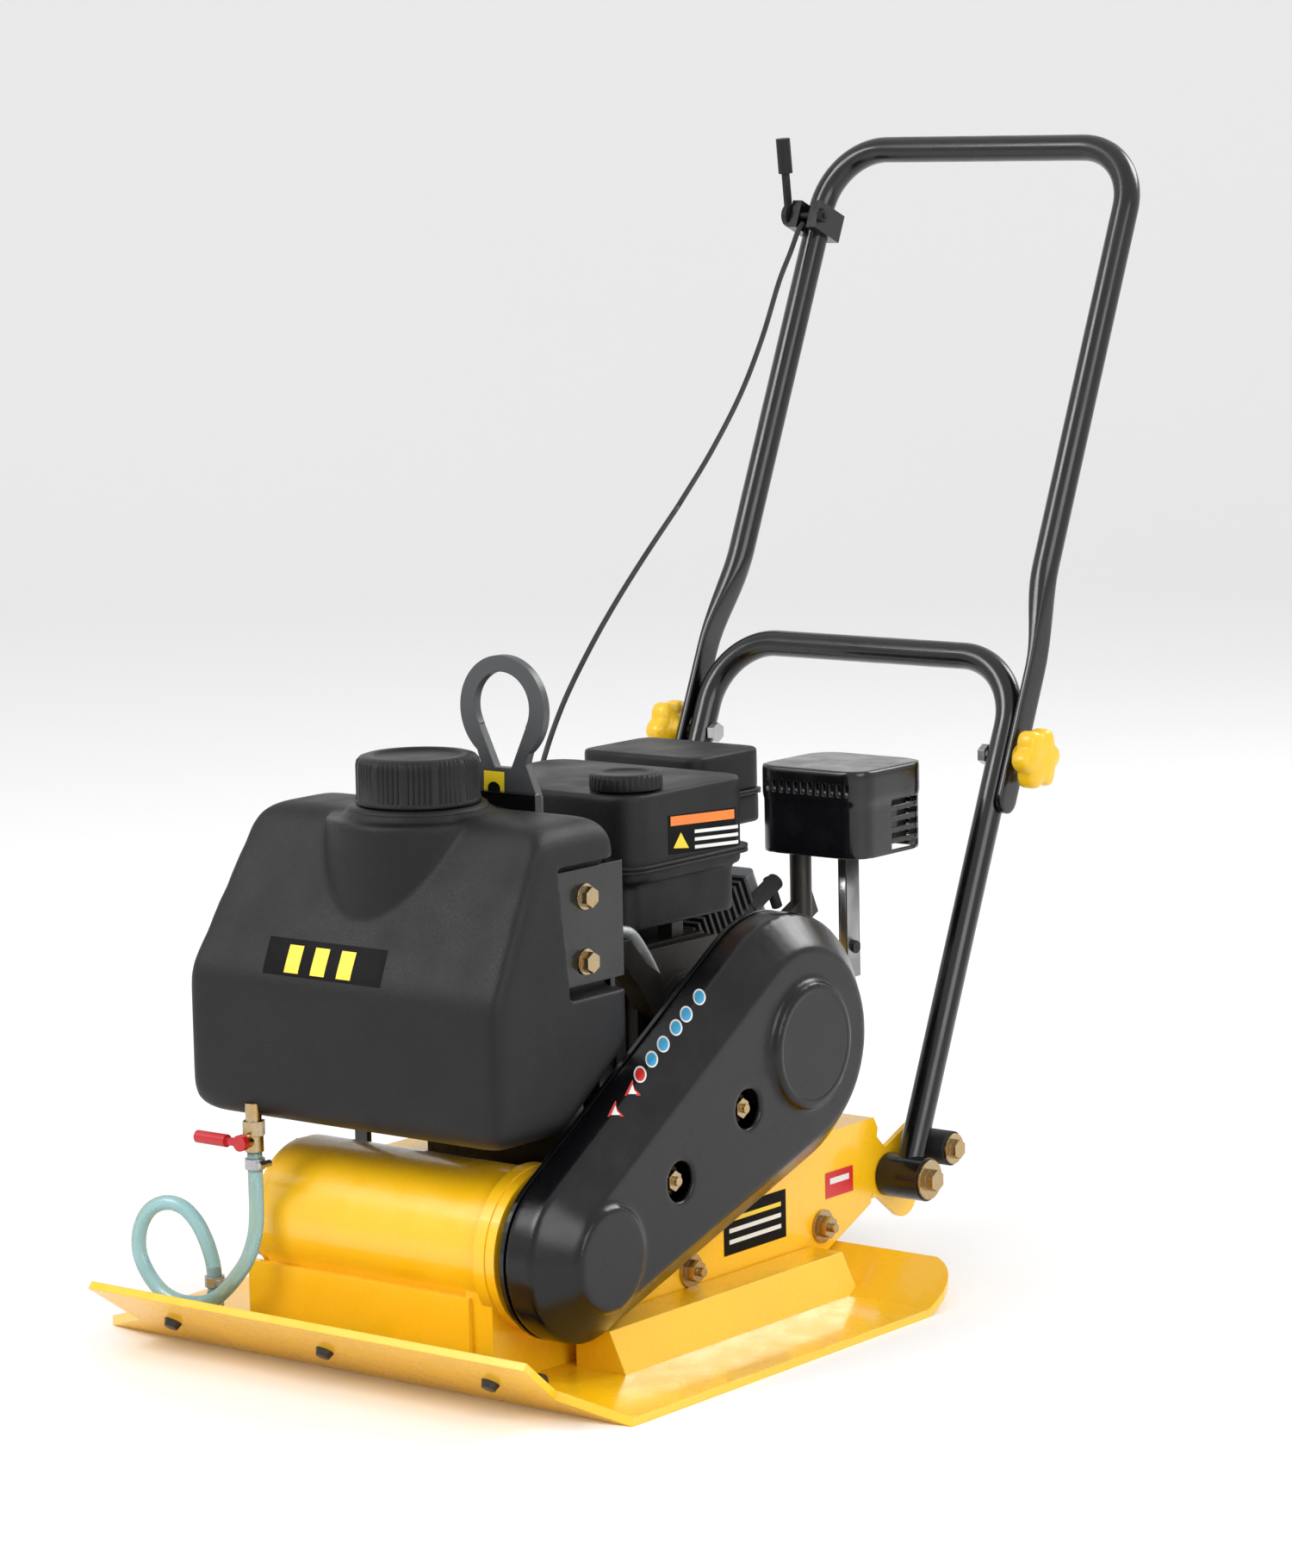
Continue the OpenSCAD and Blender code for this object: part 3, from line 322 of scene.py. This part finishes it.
MATERIALS = {
    "yellow_paint": finish_material("yellow_paint", (0.93, 0.52, 0.006), 0.28, coat=0.5, grain=700,
                                    grain_height=0.012, other=(0.88, 0.48, 0.005), ripple=0.25,
                                    edge=1.2),
    "black_paint": finish_material("black_paint", (0.004, 0.004, 0.005), 0.24, coat=0.3, grain=900,
                                   grain_height=0.01, ripple=0.15, specular=0.34),
    "grey_paint": finish_material("grey_paint", (0.055, 0.057, 0.06), 0.38, grain=600,
                                  grain_height=0.03, edge=1.6),
    "tank_plastic": finish_material("tank_plastic", (0.007, 0.007, 0.008), 0.42, grain=1400,
                                    grain_height=0.06, mottle=5, ripple=0.35, edge=1.2,
                                    specular=0.26),
    "guard_plastic": finish_material("guard_plastic", (0.004, 0.004, 0.005), 0.20, grain=1100,
                                     grain_height=0.02, ripple=0.3, edge=1.0, specular=0.34),
    "knob_plastic": finish_material("knob_plastic", (0.86, 0.52, 0.01), 0.30, grain=900,
                                    grain_height=0.012, edge=1.0),
    "red_plastic": finish_material("red_plastic", (0.50, 0.010, 0.016), 0.34, grain=800,
                                   grain_height=0.01),
    "rubber": finish_material("rubber", (0.012, 0.012, 0.012), 0.62, grain=700,
                              grain_height=0.04, mottle=14),
    "steel": finish_material("steel", (0.50, 0.50, 0.51), 0.36, metallic=1.0, grain=500,
                             grain_height=0.015, other=(0.36, 0.36, 0.37)),
    "alloy": finish_material("alloy", (0.44, 0.45, 0.46), 0.48, metallic=0.9, grain=420,
                             grain_height=0.08, other=(0.34, 0.35, 0.36), edge=1.4),
    "zinc_yellow": finish_material("zinc_yellow", (0.47, 0.30, 0.11), 0.26, metallic=1.0, grain=350,
                                   grain_height=0.008, other=(0.40, 0.33, 0.22), mottle=60),
    "hose_plastic": finish_material("hose_plastic", (0.40, 0.66, 0.68), 0.22, grain=300,
                                    grain_height=0.01, see_through=0.55, mottle=20),
    "dark_steel": finish_material("dark_steel", (0.06, 0.055, 0.05), 0.4, metallic=0.8, grain=600,
                                  grain_height=0.03),
    "cast_metal": finish_material("cast_metal", (0.05, 0.05, 0.052), 0.5, metallic=0.5, grain=500,
                                  grain_height=0.05),
}
INKS = {
    "label_black": ((0.002, 0.002, 0.002), 0.6), "label_white": ((0.80, 0.80, 0.78), 0.35),
    "label_yellow": ((0.90, 0.66, 0.02), 0.33), "label_red": ((0.62, 0.02, 0.02), 0.33),
    "label_blue": ((0.04, 0.34, 0.60), 0.33), "label_orange": ((0.85, 0.20, 0.015), 0.33),
}
for ink, (rgb, rough) in INKS.items():
    MATERIALS[ink] = finish_material(ink, rgb, rough, grain=1500, grain_height=0.004, spread=0.06,
                                     specular=0.12 if ink == "label_black" else 0.5)

for entry in frame["record"]["subparts"]:
    data = NODES[entry["node"]].data
    data.materials.clear()
    dark = entry["node"] in ("lip_bolts", "muffler", "crankcase_cover", "crankcase")
    data.materials.append(MATERIALS["dark_steel" if dark else entry["material_slot"]])


def place(obj, body, slot, *stands_for, paint=None):
    """Gives a piece its finish, its body and the CAD nodes it stands for."""
    obj.data.materials.clear()
    obj.data.materials.append(MATERIALS[paint or slot])
    if stands_for:
        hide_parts(*stands_for)
    if body:
        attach(obj, body)
    return obj


# ---------------------------------------------------------------- cords

HOSE = [(-103, -222, 180), (-103, -222, 152), (-103, -222, 128), (-104, -224, 108),
        (-110, -227, 88), (-121, -229, 72), (-136, -229, 57), (-152, -229, 46), (-170, -229, 41),
        (-191, -229, 40), (-211, -229, 46), (-227, -229, 60), (-236, -229, 78), (-235, -228, 98),
        (-225, -226, 115), (-209, -223, 123), (-192, -220, 121), (-178, -218, 110),
        (-169, -216, 94), (-164, -214, 76), (-162, -214, 62), (-162, -214, 49)]
HOSE_R = 6.5
CABLE_TOP = [(-176, 684, 932), (-176, 676, 925), (-176, 663, 905), (-174, 640, 876),
             (-170, 606, 824), (-163, 560, 772), (-155, 500, 720), (-149, 440, 674)]
CABLE_LOW = [(-149, 439.8, 673.8), (-144, 380, 631), (-141, 330, 591), (-140, 290, 553),
             (-140, 254, 512), (-139, 226, 472), (-137, 205, 433), (-136, 194, 400),
             (-136, 190, 380)]
CABLE_R = 2.5

hose, hose_line = tube("water_hose_tube", HOSE, HOSE_R, side=(0, 1, 0))
place(hose, "root", "hose_plastic", "water_hose")

cable_top, _ = tube("throttle_cable_top", CABLE_TOP, CABLE_R, sides=14, side=(1, 0, 0))
place(cable_top, None, "rubber", "throttle_cable_upper")
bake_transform(cable_top)
cable_low, _ = tube("throttle_cable_low", CABLE_LOW, CABLE_R, sides=14, side=(1, 0, 0))
place(cable_low, None, "rubber", "throttle_cable_lower")
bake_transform(cable_low)

# ---------------------------------------------------------------- water tank

TANK_SIDE = [(-205, 230, 22, 180, 270), (-150, 230, 22, 270, 307), (-70, 283, 18, 307, 360),
             (-76, 444, 24, 0, 90), (-130, 440, 28, 90, 151), (-197, 325, 30, 151, 180)]
TANK_FRONT = [(150, 230, 22, 270, 360), (146, 327, 26, 0, 5), (136, 444, 24, 5, 90)]
CAP = (0, -117)


def corner_path(corners):
    return [p for c in corners for p in arc(c[:2], c[2], c[3], c[4], 10)]


right_half = corner_path(TANK_FRONT)
tank = prism("water_tank_shell", corner_path(TANK_SIDE), "x", -200, 200)
boolean(tank, [prism("w", right_half + [(-x, z) for x, z in right_half[::-1]], "y", -300, 0)],
        "INTERSECT")
soften(tank, 3.6, 34)
tank = join("water_tank_shell", [
    tank, disc("t", CAP, 79, "z", 330, 464.5), disc("t", CAP, 62, "z", 455, 471)])
soften(tank, 2.6, 2)
boolean(tank, [block("c", (146, -130, 322), (210, -30, 432), 6),
               block("c", (-210, -130, 322), (-146, -30, 432), 6)])
soften(tank, 2.4, 4)
place(tank, "root", "tank_plastic", "water_tank")

ring = lathe("water_tank_collar", [(40, 460), (58, 466), (60, 468), (60, 471), (58, 473.5),
                                   (42, 473.5), (42, 496), (40, 496)], (CAP[0], CAP[1], 0))
place(ring, "root", "tank_plastic")


def grooves(count, depth, share, lo, hi, groups=0):
    """Ribs round a cap between two heights, in groups with plain stretches between."""
    def wave(r, h, a):
        if not lo <= h <= hi:
            return r
        if groups and (a * groups / (2 * math.pi)) % 1 > 0.78:
            return r
        phase = (a * count / (2 * math.pi)) % 1
        return r - depth * max(0.0, math.sin(math.pi * min(phase / share, 1)))
    return wave


cap = lathe("water_cap_top", [(0.4, 502), (44.6, 502), (44.6, 474.6), (53, 474.6),
                              (53.4, 475.6), (53.4, 478), (52.6, 479),
                              (52.6, 507), (51.8, 511), (49, 514), (45, 515.2), (38, 515.2),
                              (36.5, 513.2), (10, 512.4), (0.4, 512.4)], (CAP[0], CAP[1], 0),
            n=360, wave=grooves(72, 1.9, 0.62, 478.5, 511.5, 12))
place(cap, "water_cap", "tank_plastic", "water_cap")

# ---------------------------------------------------------------- fuel tank and caps

fuel = join("fuel_tank_shell", [block("f", (-114, 37, 388), (107, 206, 465.6), 24),
                                block("f", (-104, 42, 345.4), (96, 202, 412), 16)])
soften(fuel, 2.6, 12)
place(fuel, "root", "tank_plastic", "fuel_tank")
seam = join("fuel_tank_seam", [
    block("s", (-121, 31, 398), (110, 213, 400.4), 24),
    block("s", (-119, 33, 400.2), (108, 211, 402.2), 23),
    block("s", (-121, 31, 402), (110, 213, 404), 24),
    disc("s", (70, 76), 24, "z", 462, 469.6)])
place(seam, "root", "tank_plastic")
fuel_cap = lathe("fuel_cap_top", [(0.4, 477), (24.6, 477), (24.6, 466.8), (31.4, 466.8),
                                  (31.9, 468), (31.9, 477.5), (30.5, 480.4), (27, 481.3),
                                  (20, 481.2), (18.5, 480), (0.4, 480)],
                 (70, 76, 0), n=216, wave=grooves(36, 1.5, 0.6, 468.2, 478.5))
place(fuel_cap, "fuel_cap", "tank_plastic", "fuel_cap")

# ---------------------------------------------------------------- belt guard

EXCITER, CLUTCH = (-143, 114), (138, 246)
SMALL_R, BIG_R = 74, 112
GAP = math.dist(EXCITER, CLUTCH)
TILT = math.degrees(math.atan2(CLUTCH[1] - EXCITER[1], CLUTCH[0] - EXCITER[0]))


def belt_outline(small, big, n=28):
    spread = math.degrees(math.acos((small - big) / GAP))
    return (arc(EXCITER, small, TILT + spread, TILT + 360 - spread, n)
            + arc(CLUTCH, big, TILT - spread, TILT + spread, n))


def guard_shape(name, inset, x0):
    wide = [(x, *p) for x in (x0, 192) for p in belt_outline(SMALL_R - inset, BIG_R - inset)]
    top = [(216 - inset, *p) for p in belt_outline(46 - inset / 2, 84 - inset / 2)]
    bm = bmesh.new()
    for v in wide + top:
        bm.verts.new(Vector(v) * MM)
    bmesh.ops.convex_hull(bm, input=bm.verts)
    mesh = bpy.data.meshes.new(name)
    bm.to_mesh(mesh)
    bm.free()
    obj = bpy.data.objects.new(name, mesh)
    SCENE.collection.objects.link(obj)
    fix_normals(obj)
    return obj


def along_guard(t):
    return (EXCITER[0] + (CLUTCH[0] - EXCITER[0]) * t, EXCITER[1] + (CLUTCH[1] - EXCITER[1]) * t)


GUARD_BOLTS = (0.35, 0.69)
guard = join("belt_guard_shell", [guard_shape("g", 0, 164), disc("g", CLUTCH, 55, "x", 180, 223.5),
                                  disc("g", EXCITER, 44, "x", 180, 221.5)])
soften(guard, 2.4, 5)
boolean(guard, [disc("b", along_guard(t), 17, "x", 200, 230) for t in GUARD_BOLTS])
soften(guard, 1.9, 3)
boolean(guard, [guard_shape("h", 4, 150)])
boolean(guard, [disc("h", CLUTCH, 52.5, "x", 150, 220.3), disc("h", EXCITER, 41, "x", 150, 217)])
place(guard, "root", "guard_plastic", "belt_guard")

big_rim = lathe("belt_guard_rim", [(43, 219.4), (45, 222.6), (47, 223.6), (51, 223.6),
                                   (53.5, 222.6), (54.6, 219.4)], (0, *CLUTCH), axis="x")
place(big_rim, "root", "guard_plastic")

# ---------------------------------------------------------------- knobs

KNOB = (502.6, 451)


def star(r, h, a):
    return r * (0.80 + 0.20 * (0.5 + 0.5 * math.cos(6 * a)) ** 0.7) if r > 14 else r


for side, name in ((1, "knob_right"), (-1, "knob_left")):
    knob = lathe(name + "_star", [(0.4, 216.4), (5.4, 216.4), (5.4, 193.8), (12.6, 193.8),
                                  (12.8, 201), (20, 202), (28, 204), (29.2, 207), (29.2, 216),
                                  (28, 219.5), (24, 221.6), (12, 221.8), (0.4, 220.6)],
                 (0, KNOB[0], KNOB[1]), axis="x" if side > 0 else "-x", n=144, wave=star)
    place(knob, name, "knob_plastic", name)

# ---------------------------------------------------------------- air cleaner

cleaner = join("air_cleaner_box", [block("a", (-150, 282, 392), (-12, 386, 418), 14),
                                   block("a", (-150, 282, 423), (-12, 386, 461.5), 16),
                                   block("a", (-147, 285, 410), (-15, 383, 430), 13)])
soften(cleaner, 2.2, 7)
place(cleaner, "root", "tank_plastic", "air_cleaner")
rim = join("air_cleaner_rim", [block("r", (-152, 280, 419), (-10, 388, 420.6), 15),
                               block("r", (-152, 280, 421.6), (-10, 388, 423), 15),
                               block("r", (-150, 282, 420), (-12, 386, 422), 15)])
place(rim, "root", "tank_plastic")

# ---------------------------------------------------------------- engine side arm


def swept(name, points, radii, sides=18):
    """Tube whose radius changes along its route."""
    obj, line = tube(name, points, 1.0, steps=6, sides=sides, side=(1, 0, 0))
    co = np.array([v.co for v in obj.data.vertices]) / MM
    route = np.array(line)
    where = np.array([np.argmin(np.linalg.norm(route - c, axis=1)) for c in co])
    share = np.interp(where / (len(line) - 1), np.linspace(0, 1, len(radii)), radii)
    for v, c, k, r in zip(obj.data.vertices, co, where, share):
        v.co = Vector(route[k] + (c - route[k]) * r) * MM
    return obj


arm = swept("engine_side_arm", [(91, 28, 350), (92, 48, 344), (93, 66, 322), (93, 82, 300),
                                (93, 84, 288)], (5, 7, 7.5, 6, 4))
place(arm, "root", "alloy")

# ---------------------------------------------------------------- muffler guard

louvres = join("muffler_guard_box", [block("m", (31.5, 313.5, 376), (148.5, 418.5, 450), 20),
                                     block("m", (30, 312, 427), (150, 420, 456), 22)])
soften(louvres, 1.9, 9)
cuts = [block("c", (34, 316, 350), (146, 416, 451), 18)]
cuts += [block("c", (144, 362, z), (156, 404, z + 5.5)) for z in range(380, 424, 10)]
cuts += [block("c", (92, 412, z), (130, 424, z + 5.5)) for z in range(380, 424, 10)]
cuts += [block("c", (44 + 8 * i, 305, 433), (48 + 8 * i, 313.6, 444)) for i in range(12)]
boolean(louvres, cuts)
place(louvres, "root", "black_paint", "muffler_guard")
strut = block("muffler_strut", (103.8, 339.8, 261.9), (113.2, 360.2, 374), 2)
place(strut, "root", "steel")

# ---------------------------------------------------------------- handle

LEAN = math.atan2(172, 398)
HANDLE_HALF, HANDLE_RISE, HANDLE_BEND, HANDLE_R = 176.3, 600.2, 62, 12.5
FLAT_X, FLAT_HALF_T, FLAT_HALF_W, TAIL = 189.7, 3.45, 13.9, 54


def leg(x, y, z):
    """Point in the frame of the leaning legs: across, up along the leg, out to the front."""
    return (x, KNOB[0] + y * math.sin(LEAN) - z * math.cos(LEAN),
            KNOB[1] + y * math.cos(LEAN) + z * math.sin(LEAN))


def leg_sections():
    """(centre x, centre y, outward x, outward y, half thickness, half width, squareness)."""
    out = []
    for k in range(1, 9):
        a = math.pi / 2 * k / 8
        out.append((FLAT_X, 14 - TAIL - 14 * math.cos(a), 1, 0, FLAT_HALF_T,
                    max(0.3, FLAT_HALF_W * math.sin(a)), 5))
    out += [(FLAT_X, y, 1, 0, FLAT_HALF_T, FLAT_HALF_W, 5) for y in (-20, 0, 30, 60, 84)]
    for k in range(1, 11):
        w = k / 10
        w = w * w * (3 - 2 * w)
        out.append((FLAT_X + (HANDLE_HALF - FLAT_X) * w, 84 + 100 * k / 10, 1, 0,
                    FLAT_HALF_T + (HANDLE_R - FLAT_HALF_T) * w,
                    FLAT_HALF_W + (HANDLE_R - FLAT_HALF_W) * w, 5 - 3 * w))
    start = HANDLE_RISE - HANDLE_BEND
    out += [(HANDLE_HALF, y, 1, 0, HANDLE_R, HANDLE_R, 2) for y in (240, 340, 440, 520)]
    for k in range(17):
        a = math.pi / 2 * k / 16
        out.append((HANDLE_HALF - HANDLE_BEND + HANDLE_BEND * math.cos(a),
                    start + HANDLE_BEND * math.sin(a), math.cos(a), math.sin(a),
                    HANDLE_R, HANDLE_R, 2))
    return out


def handle_tube(name, sides=40):
    half = leg_sections()
    whole = half + [(-x, y, -nx, ny, t, w, q) for x, y, nx, ny, t, w, q in half[::-1]]
    verts, faces = [], []
    for x, y, nx, ny, t, w, q in whole:
        for k in range(sides):
            a = 2 * math.pi * k / sides
            c, d = math.cos(a), math.sin(a)
            p = t * math.copysign(abs(c) ** (2 / q), c)
            verts.append(leg(x + p * nx, y + p * ny, w * math.copysign(abs(d) ** (2 / q), d)))
    for i in range(len(whole) - 1):
        for k in range(sides):
            faces.append([i * sides + k, i * sides + (k + 1) % sides,
                          (i + 1) * sides + (k + 1) % sides, (i + 1) * sides + k])
    faces += [list(range(sides))[::-1], [(len(whole) - 1) * sides + k for k in range(sides)]]
    obj = make(name, verts, faces)
    fix_normals(obj)
    return obj


hoop = handle_tube("handle_upper_tube")
boolean(hoop, [disc("k", KNOB, 5.4, "x", 180, 200), disc("k", KNOB, 5.4, "x", -200, -180)])
place(hoop, "handle_upper", "black_paint", "handle_upper")

# ---------------------------------------------------------------- labels

bpy.context.view_layer.update()
LABEL_LIFT = 0.35
LABEL_REACH = 1000


def tree_of(obj):
    bm = bmesh.new()
    bm.from_mesh(obj.data)
    found = BVHTree.FromBMesh(bm)
    bm.free()
    return found


TREES = {}


def face(origin, across, up):
    """Flat frame for laying labels: a start point in millimetres and two directions."""
    return Vector(origin), Vector(across), Vector(up)


FLANK = math.radians(TILT) + math.asin((BIG_R - SMALL_R) / GAP)
FRONT = face((0, 0, 0), (1, 0, 0), (0, 0, 1))
SIDE = face((0, 0, 0), (0, 1, 0), (0, 0, 1))


def guard_edge(along, x):
    """Frame facing the camera, at a place along the guard's upper flank from its small drum."""
    y = EXCITER[0] - SMALL_R * math.sin(FLANK) + along * math.cos(FLANK)
    z = EXCITER[1] + SMALL_R * math.cos(FLANK) + along * math.sin(FLANK)
    return face((x, y, z), cam_right, cam_up)


def on_surface(target, where, a, b, lift):
    """Where a piece lies behind a point of a label's flat frame, in millimetres."""
    if target.name not in TREES:
        TREES[target.name] = tree_of(target)
    origin, across, up = where
    out = across.cross(up)
    start = (origin + across * a + up * b + out * LABEL_REACH) * MM
    hit, normal, _, _ = TREES[target.name].ray_cast(start, -out)
    if hit is None:
        return None
    if normal.dot(out) < 0:
        normal = -normal
    return hit / MM + normal * LABEL_LIFT + out * lift


def panel(a0, b0, a1, b1, lean=0, drop=0):
    """Corners of a label: lean shifts its lower edge along, drop lowers its far end."""
    return [(a0, b1), (a1, b1 - drop), (a1 + lean, b0 - drop), (a0 + lean, b0)]


def decal(name, target, where, corners, ink, n=10, lift=0):
    """Four-cornered patch laid on a piece."""
    a, b, c, d = [np.array(p, float) for p in corners]
    verts, faces, index = [], [], {}
    for i in range(n + 1):
        for j in range(n + 1):
            s, t = i / n, j / n
            p = a * (1 - s) * (1 - t) + b * s * (1 - t) + c * s * t + d * (1 - s) * t
            hit = on_surface(target, where, *p, lift)
            if hit is not None:
                index[i, j] = len(verts)
                verts.append(hit)
    for i in range(n):
        for j in range(n):
            quad = [(i, j), (i + 1, j), (i + 1, j + 1), (i, j + 1)]
            if all(q in index for q in quad):
                faces.append([index[q] for q in quad])
    return place(make(name, verts, faces), "root", "tank_plastic", paint=ink)


def decal_fan(name, target, where, centre, shape, ink, lift=0.3):
    """Patch of any outline round a point, laid on a piece."""
    n = len(shape)
    shares = (0.35, 0.7, 1.0)
    verts = [on_surface(target, where, centre[0] + x * k, centre[1] + y * k, lift)
             for k in shares for x, y in shape]
    mid = len(verts)
    verts.append(on_surface(target, where, *centre, lift))
    faces = []
    for i in range(n):
        j = (i + 1) % n
        faces.append([mid, i, j])
        faces += [[k * n + i, (k + 1) * n + i, (k + 1) * n + j, k * n + j]
                  for k in range(len(shares) - 1)]
    return place(make(name, verts, faces), "root", "tank_plastic", paint=ink)


def circle(r, wide, n=24):
    """Round outline, made wider or narrower."""
    turns = [2 * math.pi * k / n for k in range(n)]
    return [(r * wide * math.cos(a), r * math.sin(a)) for a in turns]


# Tank: a dark panel with three bars
decal("tank_label", tank, FRONT, panel(-89.5, 336.5, 41, 365, lean=4), "label_black")
BAR_PITCH = 29
for i in range(3):
    x = -64.5 + BAR_PITCH * i
    decal(f"tank_label_chevron_{i}", tank, FRONT, panel(x, 339, x + 15.7, 360.5, lean=2.4),
          "label_yellow", lift=0.3)

# Belt guard: a row of dots and two triangles along its upper flank
ICON_X, ICON_R, MARK_R, ICON_WIDE = 189, 6.6, 5.1, 0.8
ICONS = [(239, "label_blue"), (217, "label_blue"), (200, "label_blue"), (179, "label_blue"),
         (160, "label_blue"), (141, "label_red")]
for i, (along, ink) in enumerate(ICONS):
    spot = guard_edge(along, ICON_X)
    decal_fan(f"guard_icon_{i}", guard, spot, (0, 0), circle(ICON_R, ICON_WIDE), "label_white")
    decal_fan(f"guard_icon_mark_{i}", guard, spot, (0, 0), circle(MARK_R, ICON_WIDE), ink, lift=0.6)
for i, (along, x) in enumerate([(124, 192), (98, 191)]):
    spot = guard_edge(along, x)
    decal_fan(f"guard_warning_{i}", guard, spot, (0, 0), [(-6.6, -5.8), (6.6, -5.8), (0, 6.6)],
              "label_red")
    decal_fan(f"guard_warning_mark_{i}", guard, spot, (0, -1.5),
              [(-3.6, -2.9), (3.6, -2.9), (0, 4.4)], "label_white", lift=0.6)

# Fuel tank: a dark panel with a strip, a triangle and three lines
decal("fuel_label", fuel, SIDE, panel(87, 409.7, 183.3, 443.8, drop=4.8), "label_black")
decal("fuel_label_strip", fuel, SIDE, panel(89.5, 434.5, 180.8, 442.8, drop=5.1), "label_orange",
      lift=0.3)
decal_fan("fuel_label_triangle", fuel, SIDE, (103.7, 419.8), [(-11, -5), (11, -7.5), (0, 7.5)],
          "label_yellow")
for i in range(3):
    z = 424 - 6.8 * i
    decal(f"fuel_label_line_{i}", fuel, SIDE, panel(123.3, z, 186.8, z + 3, drop=3.9),
          "label_white", lift=0.3)

# Engine bed: a dark panel with three lines and a small red one
bed = NODES["engine_bed"]
decal("bed_label", bed, SIDE, panel(99, 57.5, 190, 100.7), "label_black")
for i in range(3):
    z = 86.8 - 10 * i
    decal(f"bed_label_line_{i}", bed, SIDE, panel(106.4, z, 182.2, z + 3.9),
          "label_yellow" if i == 0 else "label_white", lift=0.3)
decal("bed_label_red", bed, SIDE, panel(250, 79.2, 292.3, 102.8), "label_red")
decal("bed_label_red_mark", bed, SIDE, panel(256.5, 91.4, 285.7, 96.9), "label_white", lift=0.3)

# Lifting eye: a yellow square with a dot
eye = NODES["lifting_eye"]
decal("eye_label", eye, FRONT, panel(8, 460.5, 30.5, 492.2, lean=-1), "label_yellow")
decal_fan("eye_label_ring", eye, FRONT, (18.9, 477.4), circle(5.95, 1.15), "label_black")

# ---------------------------------------------------------------- setting

away = Vector((-back.x, -back.y, 0)).normalized()
sweep = [(-6.0, 0.0), (0.0, 0.0), (6.0, 0.0)]
sweep += [(6.0 + 4 * math.sin(math.radians(a)), 4 - 4 * math.cos(math.radians(a)))
          for a in range(6, 91, 6)] + [(10.0, 14.0)]
floor = make("floor", [(away * d + flat_right * w) * 1000 + Vector((0, 0, h * 1000))
                       for d, h in sweep for w in (-16, 16)],
             [[2 * i, 2 * i + 1, 2 * i + 3, 2 * i + 2] for i in range(len(sweep) - 1)])
floor_mat = bpy.data.materials.new("floor")
floor_mat.use_nodes = True
floor_shader = floor_mat.node_tree.nodes["Principled BSDF"]
floor_shader.inputs["Base Color"].default_value = (0.86, 0.86, 0.86, 1)
floor_shader.inputs["Roughness"].default_value = 0.6
floor.data.materials.append(floor_mat)

world = bpy.data.worlds.new("world")
SCENE.world = world
world.use_nodes = True
sky = world.node_tree.nodes["Background"]
sky.inputs["Color"].default_value = (1, 1, 1, 1)
sky.inputs["Strength"].default_value = 0.92


def lamp(name, at, to, size, power):
    data = bpy.data.lights.new(name, "AREA")
    data.size = size
    data.energy = power
    obj = bpy.data.objects.new(name, data)
    SCENE.collection.objects.link(obj)
    obj.location = at
    obj.rotation_euler = (Vector(to) - Vector(at)).to_track_quat("-Z", "Y").to_euler()


lamp("key", (-1.6, -2.6, 3.0), (0, 0, 0.4), 1.6, 80)
lamp("fill", (3.2, -1.0, 1.8), (0, 0, 0.4), 2.0, 45)
lamp("rim", (1.0, 3.0, 2.6), (0, 0, 0.5), 1.5, 60)
SCENE.view_settings.view_transform = "Standard"
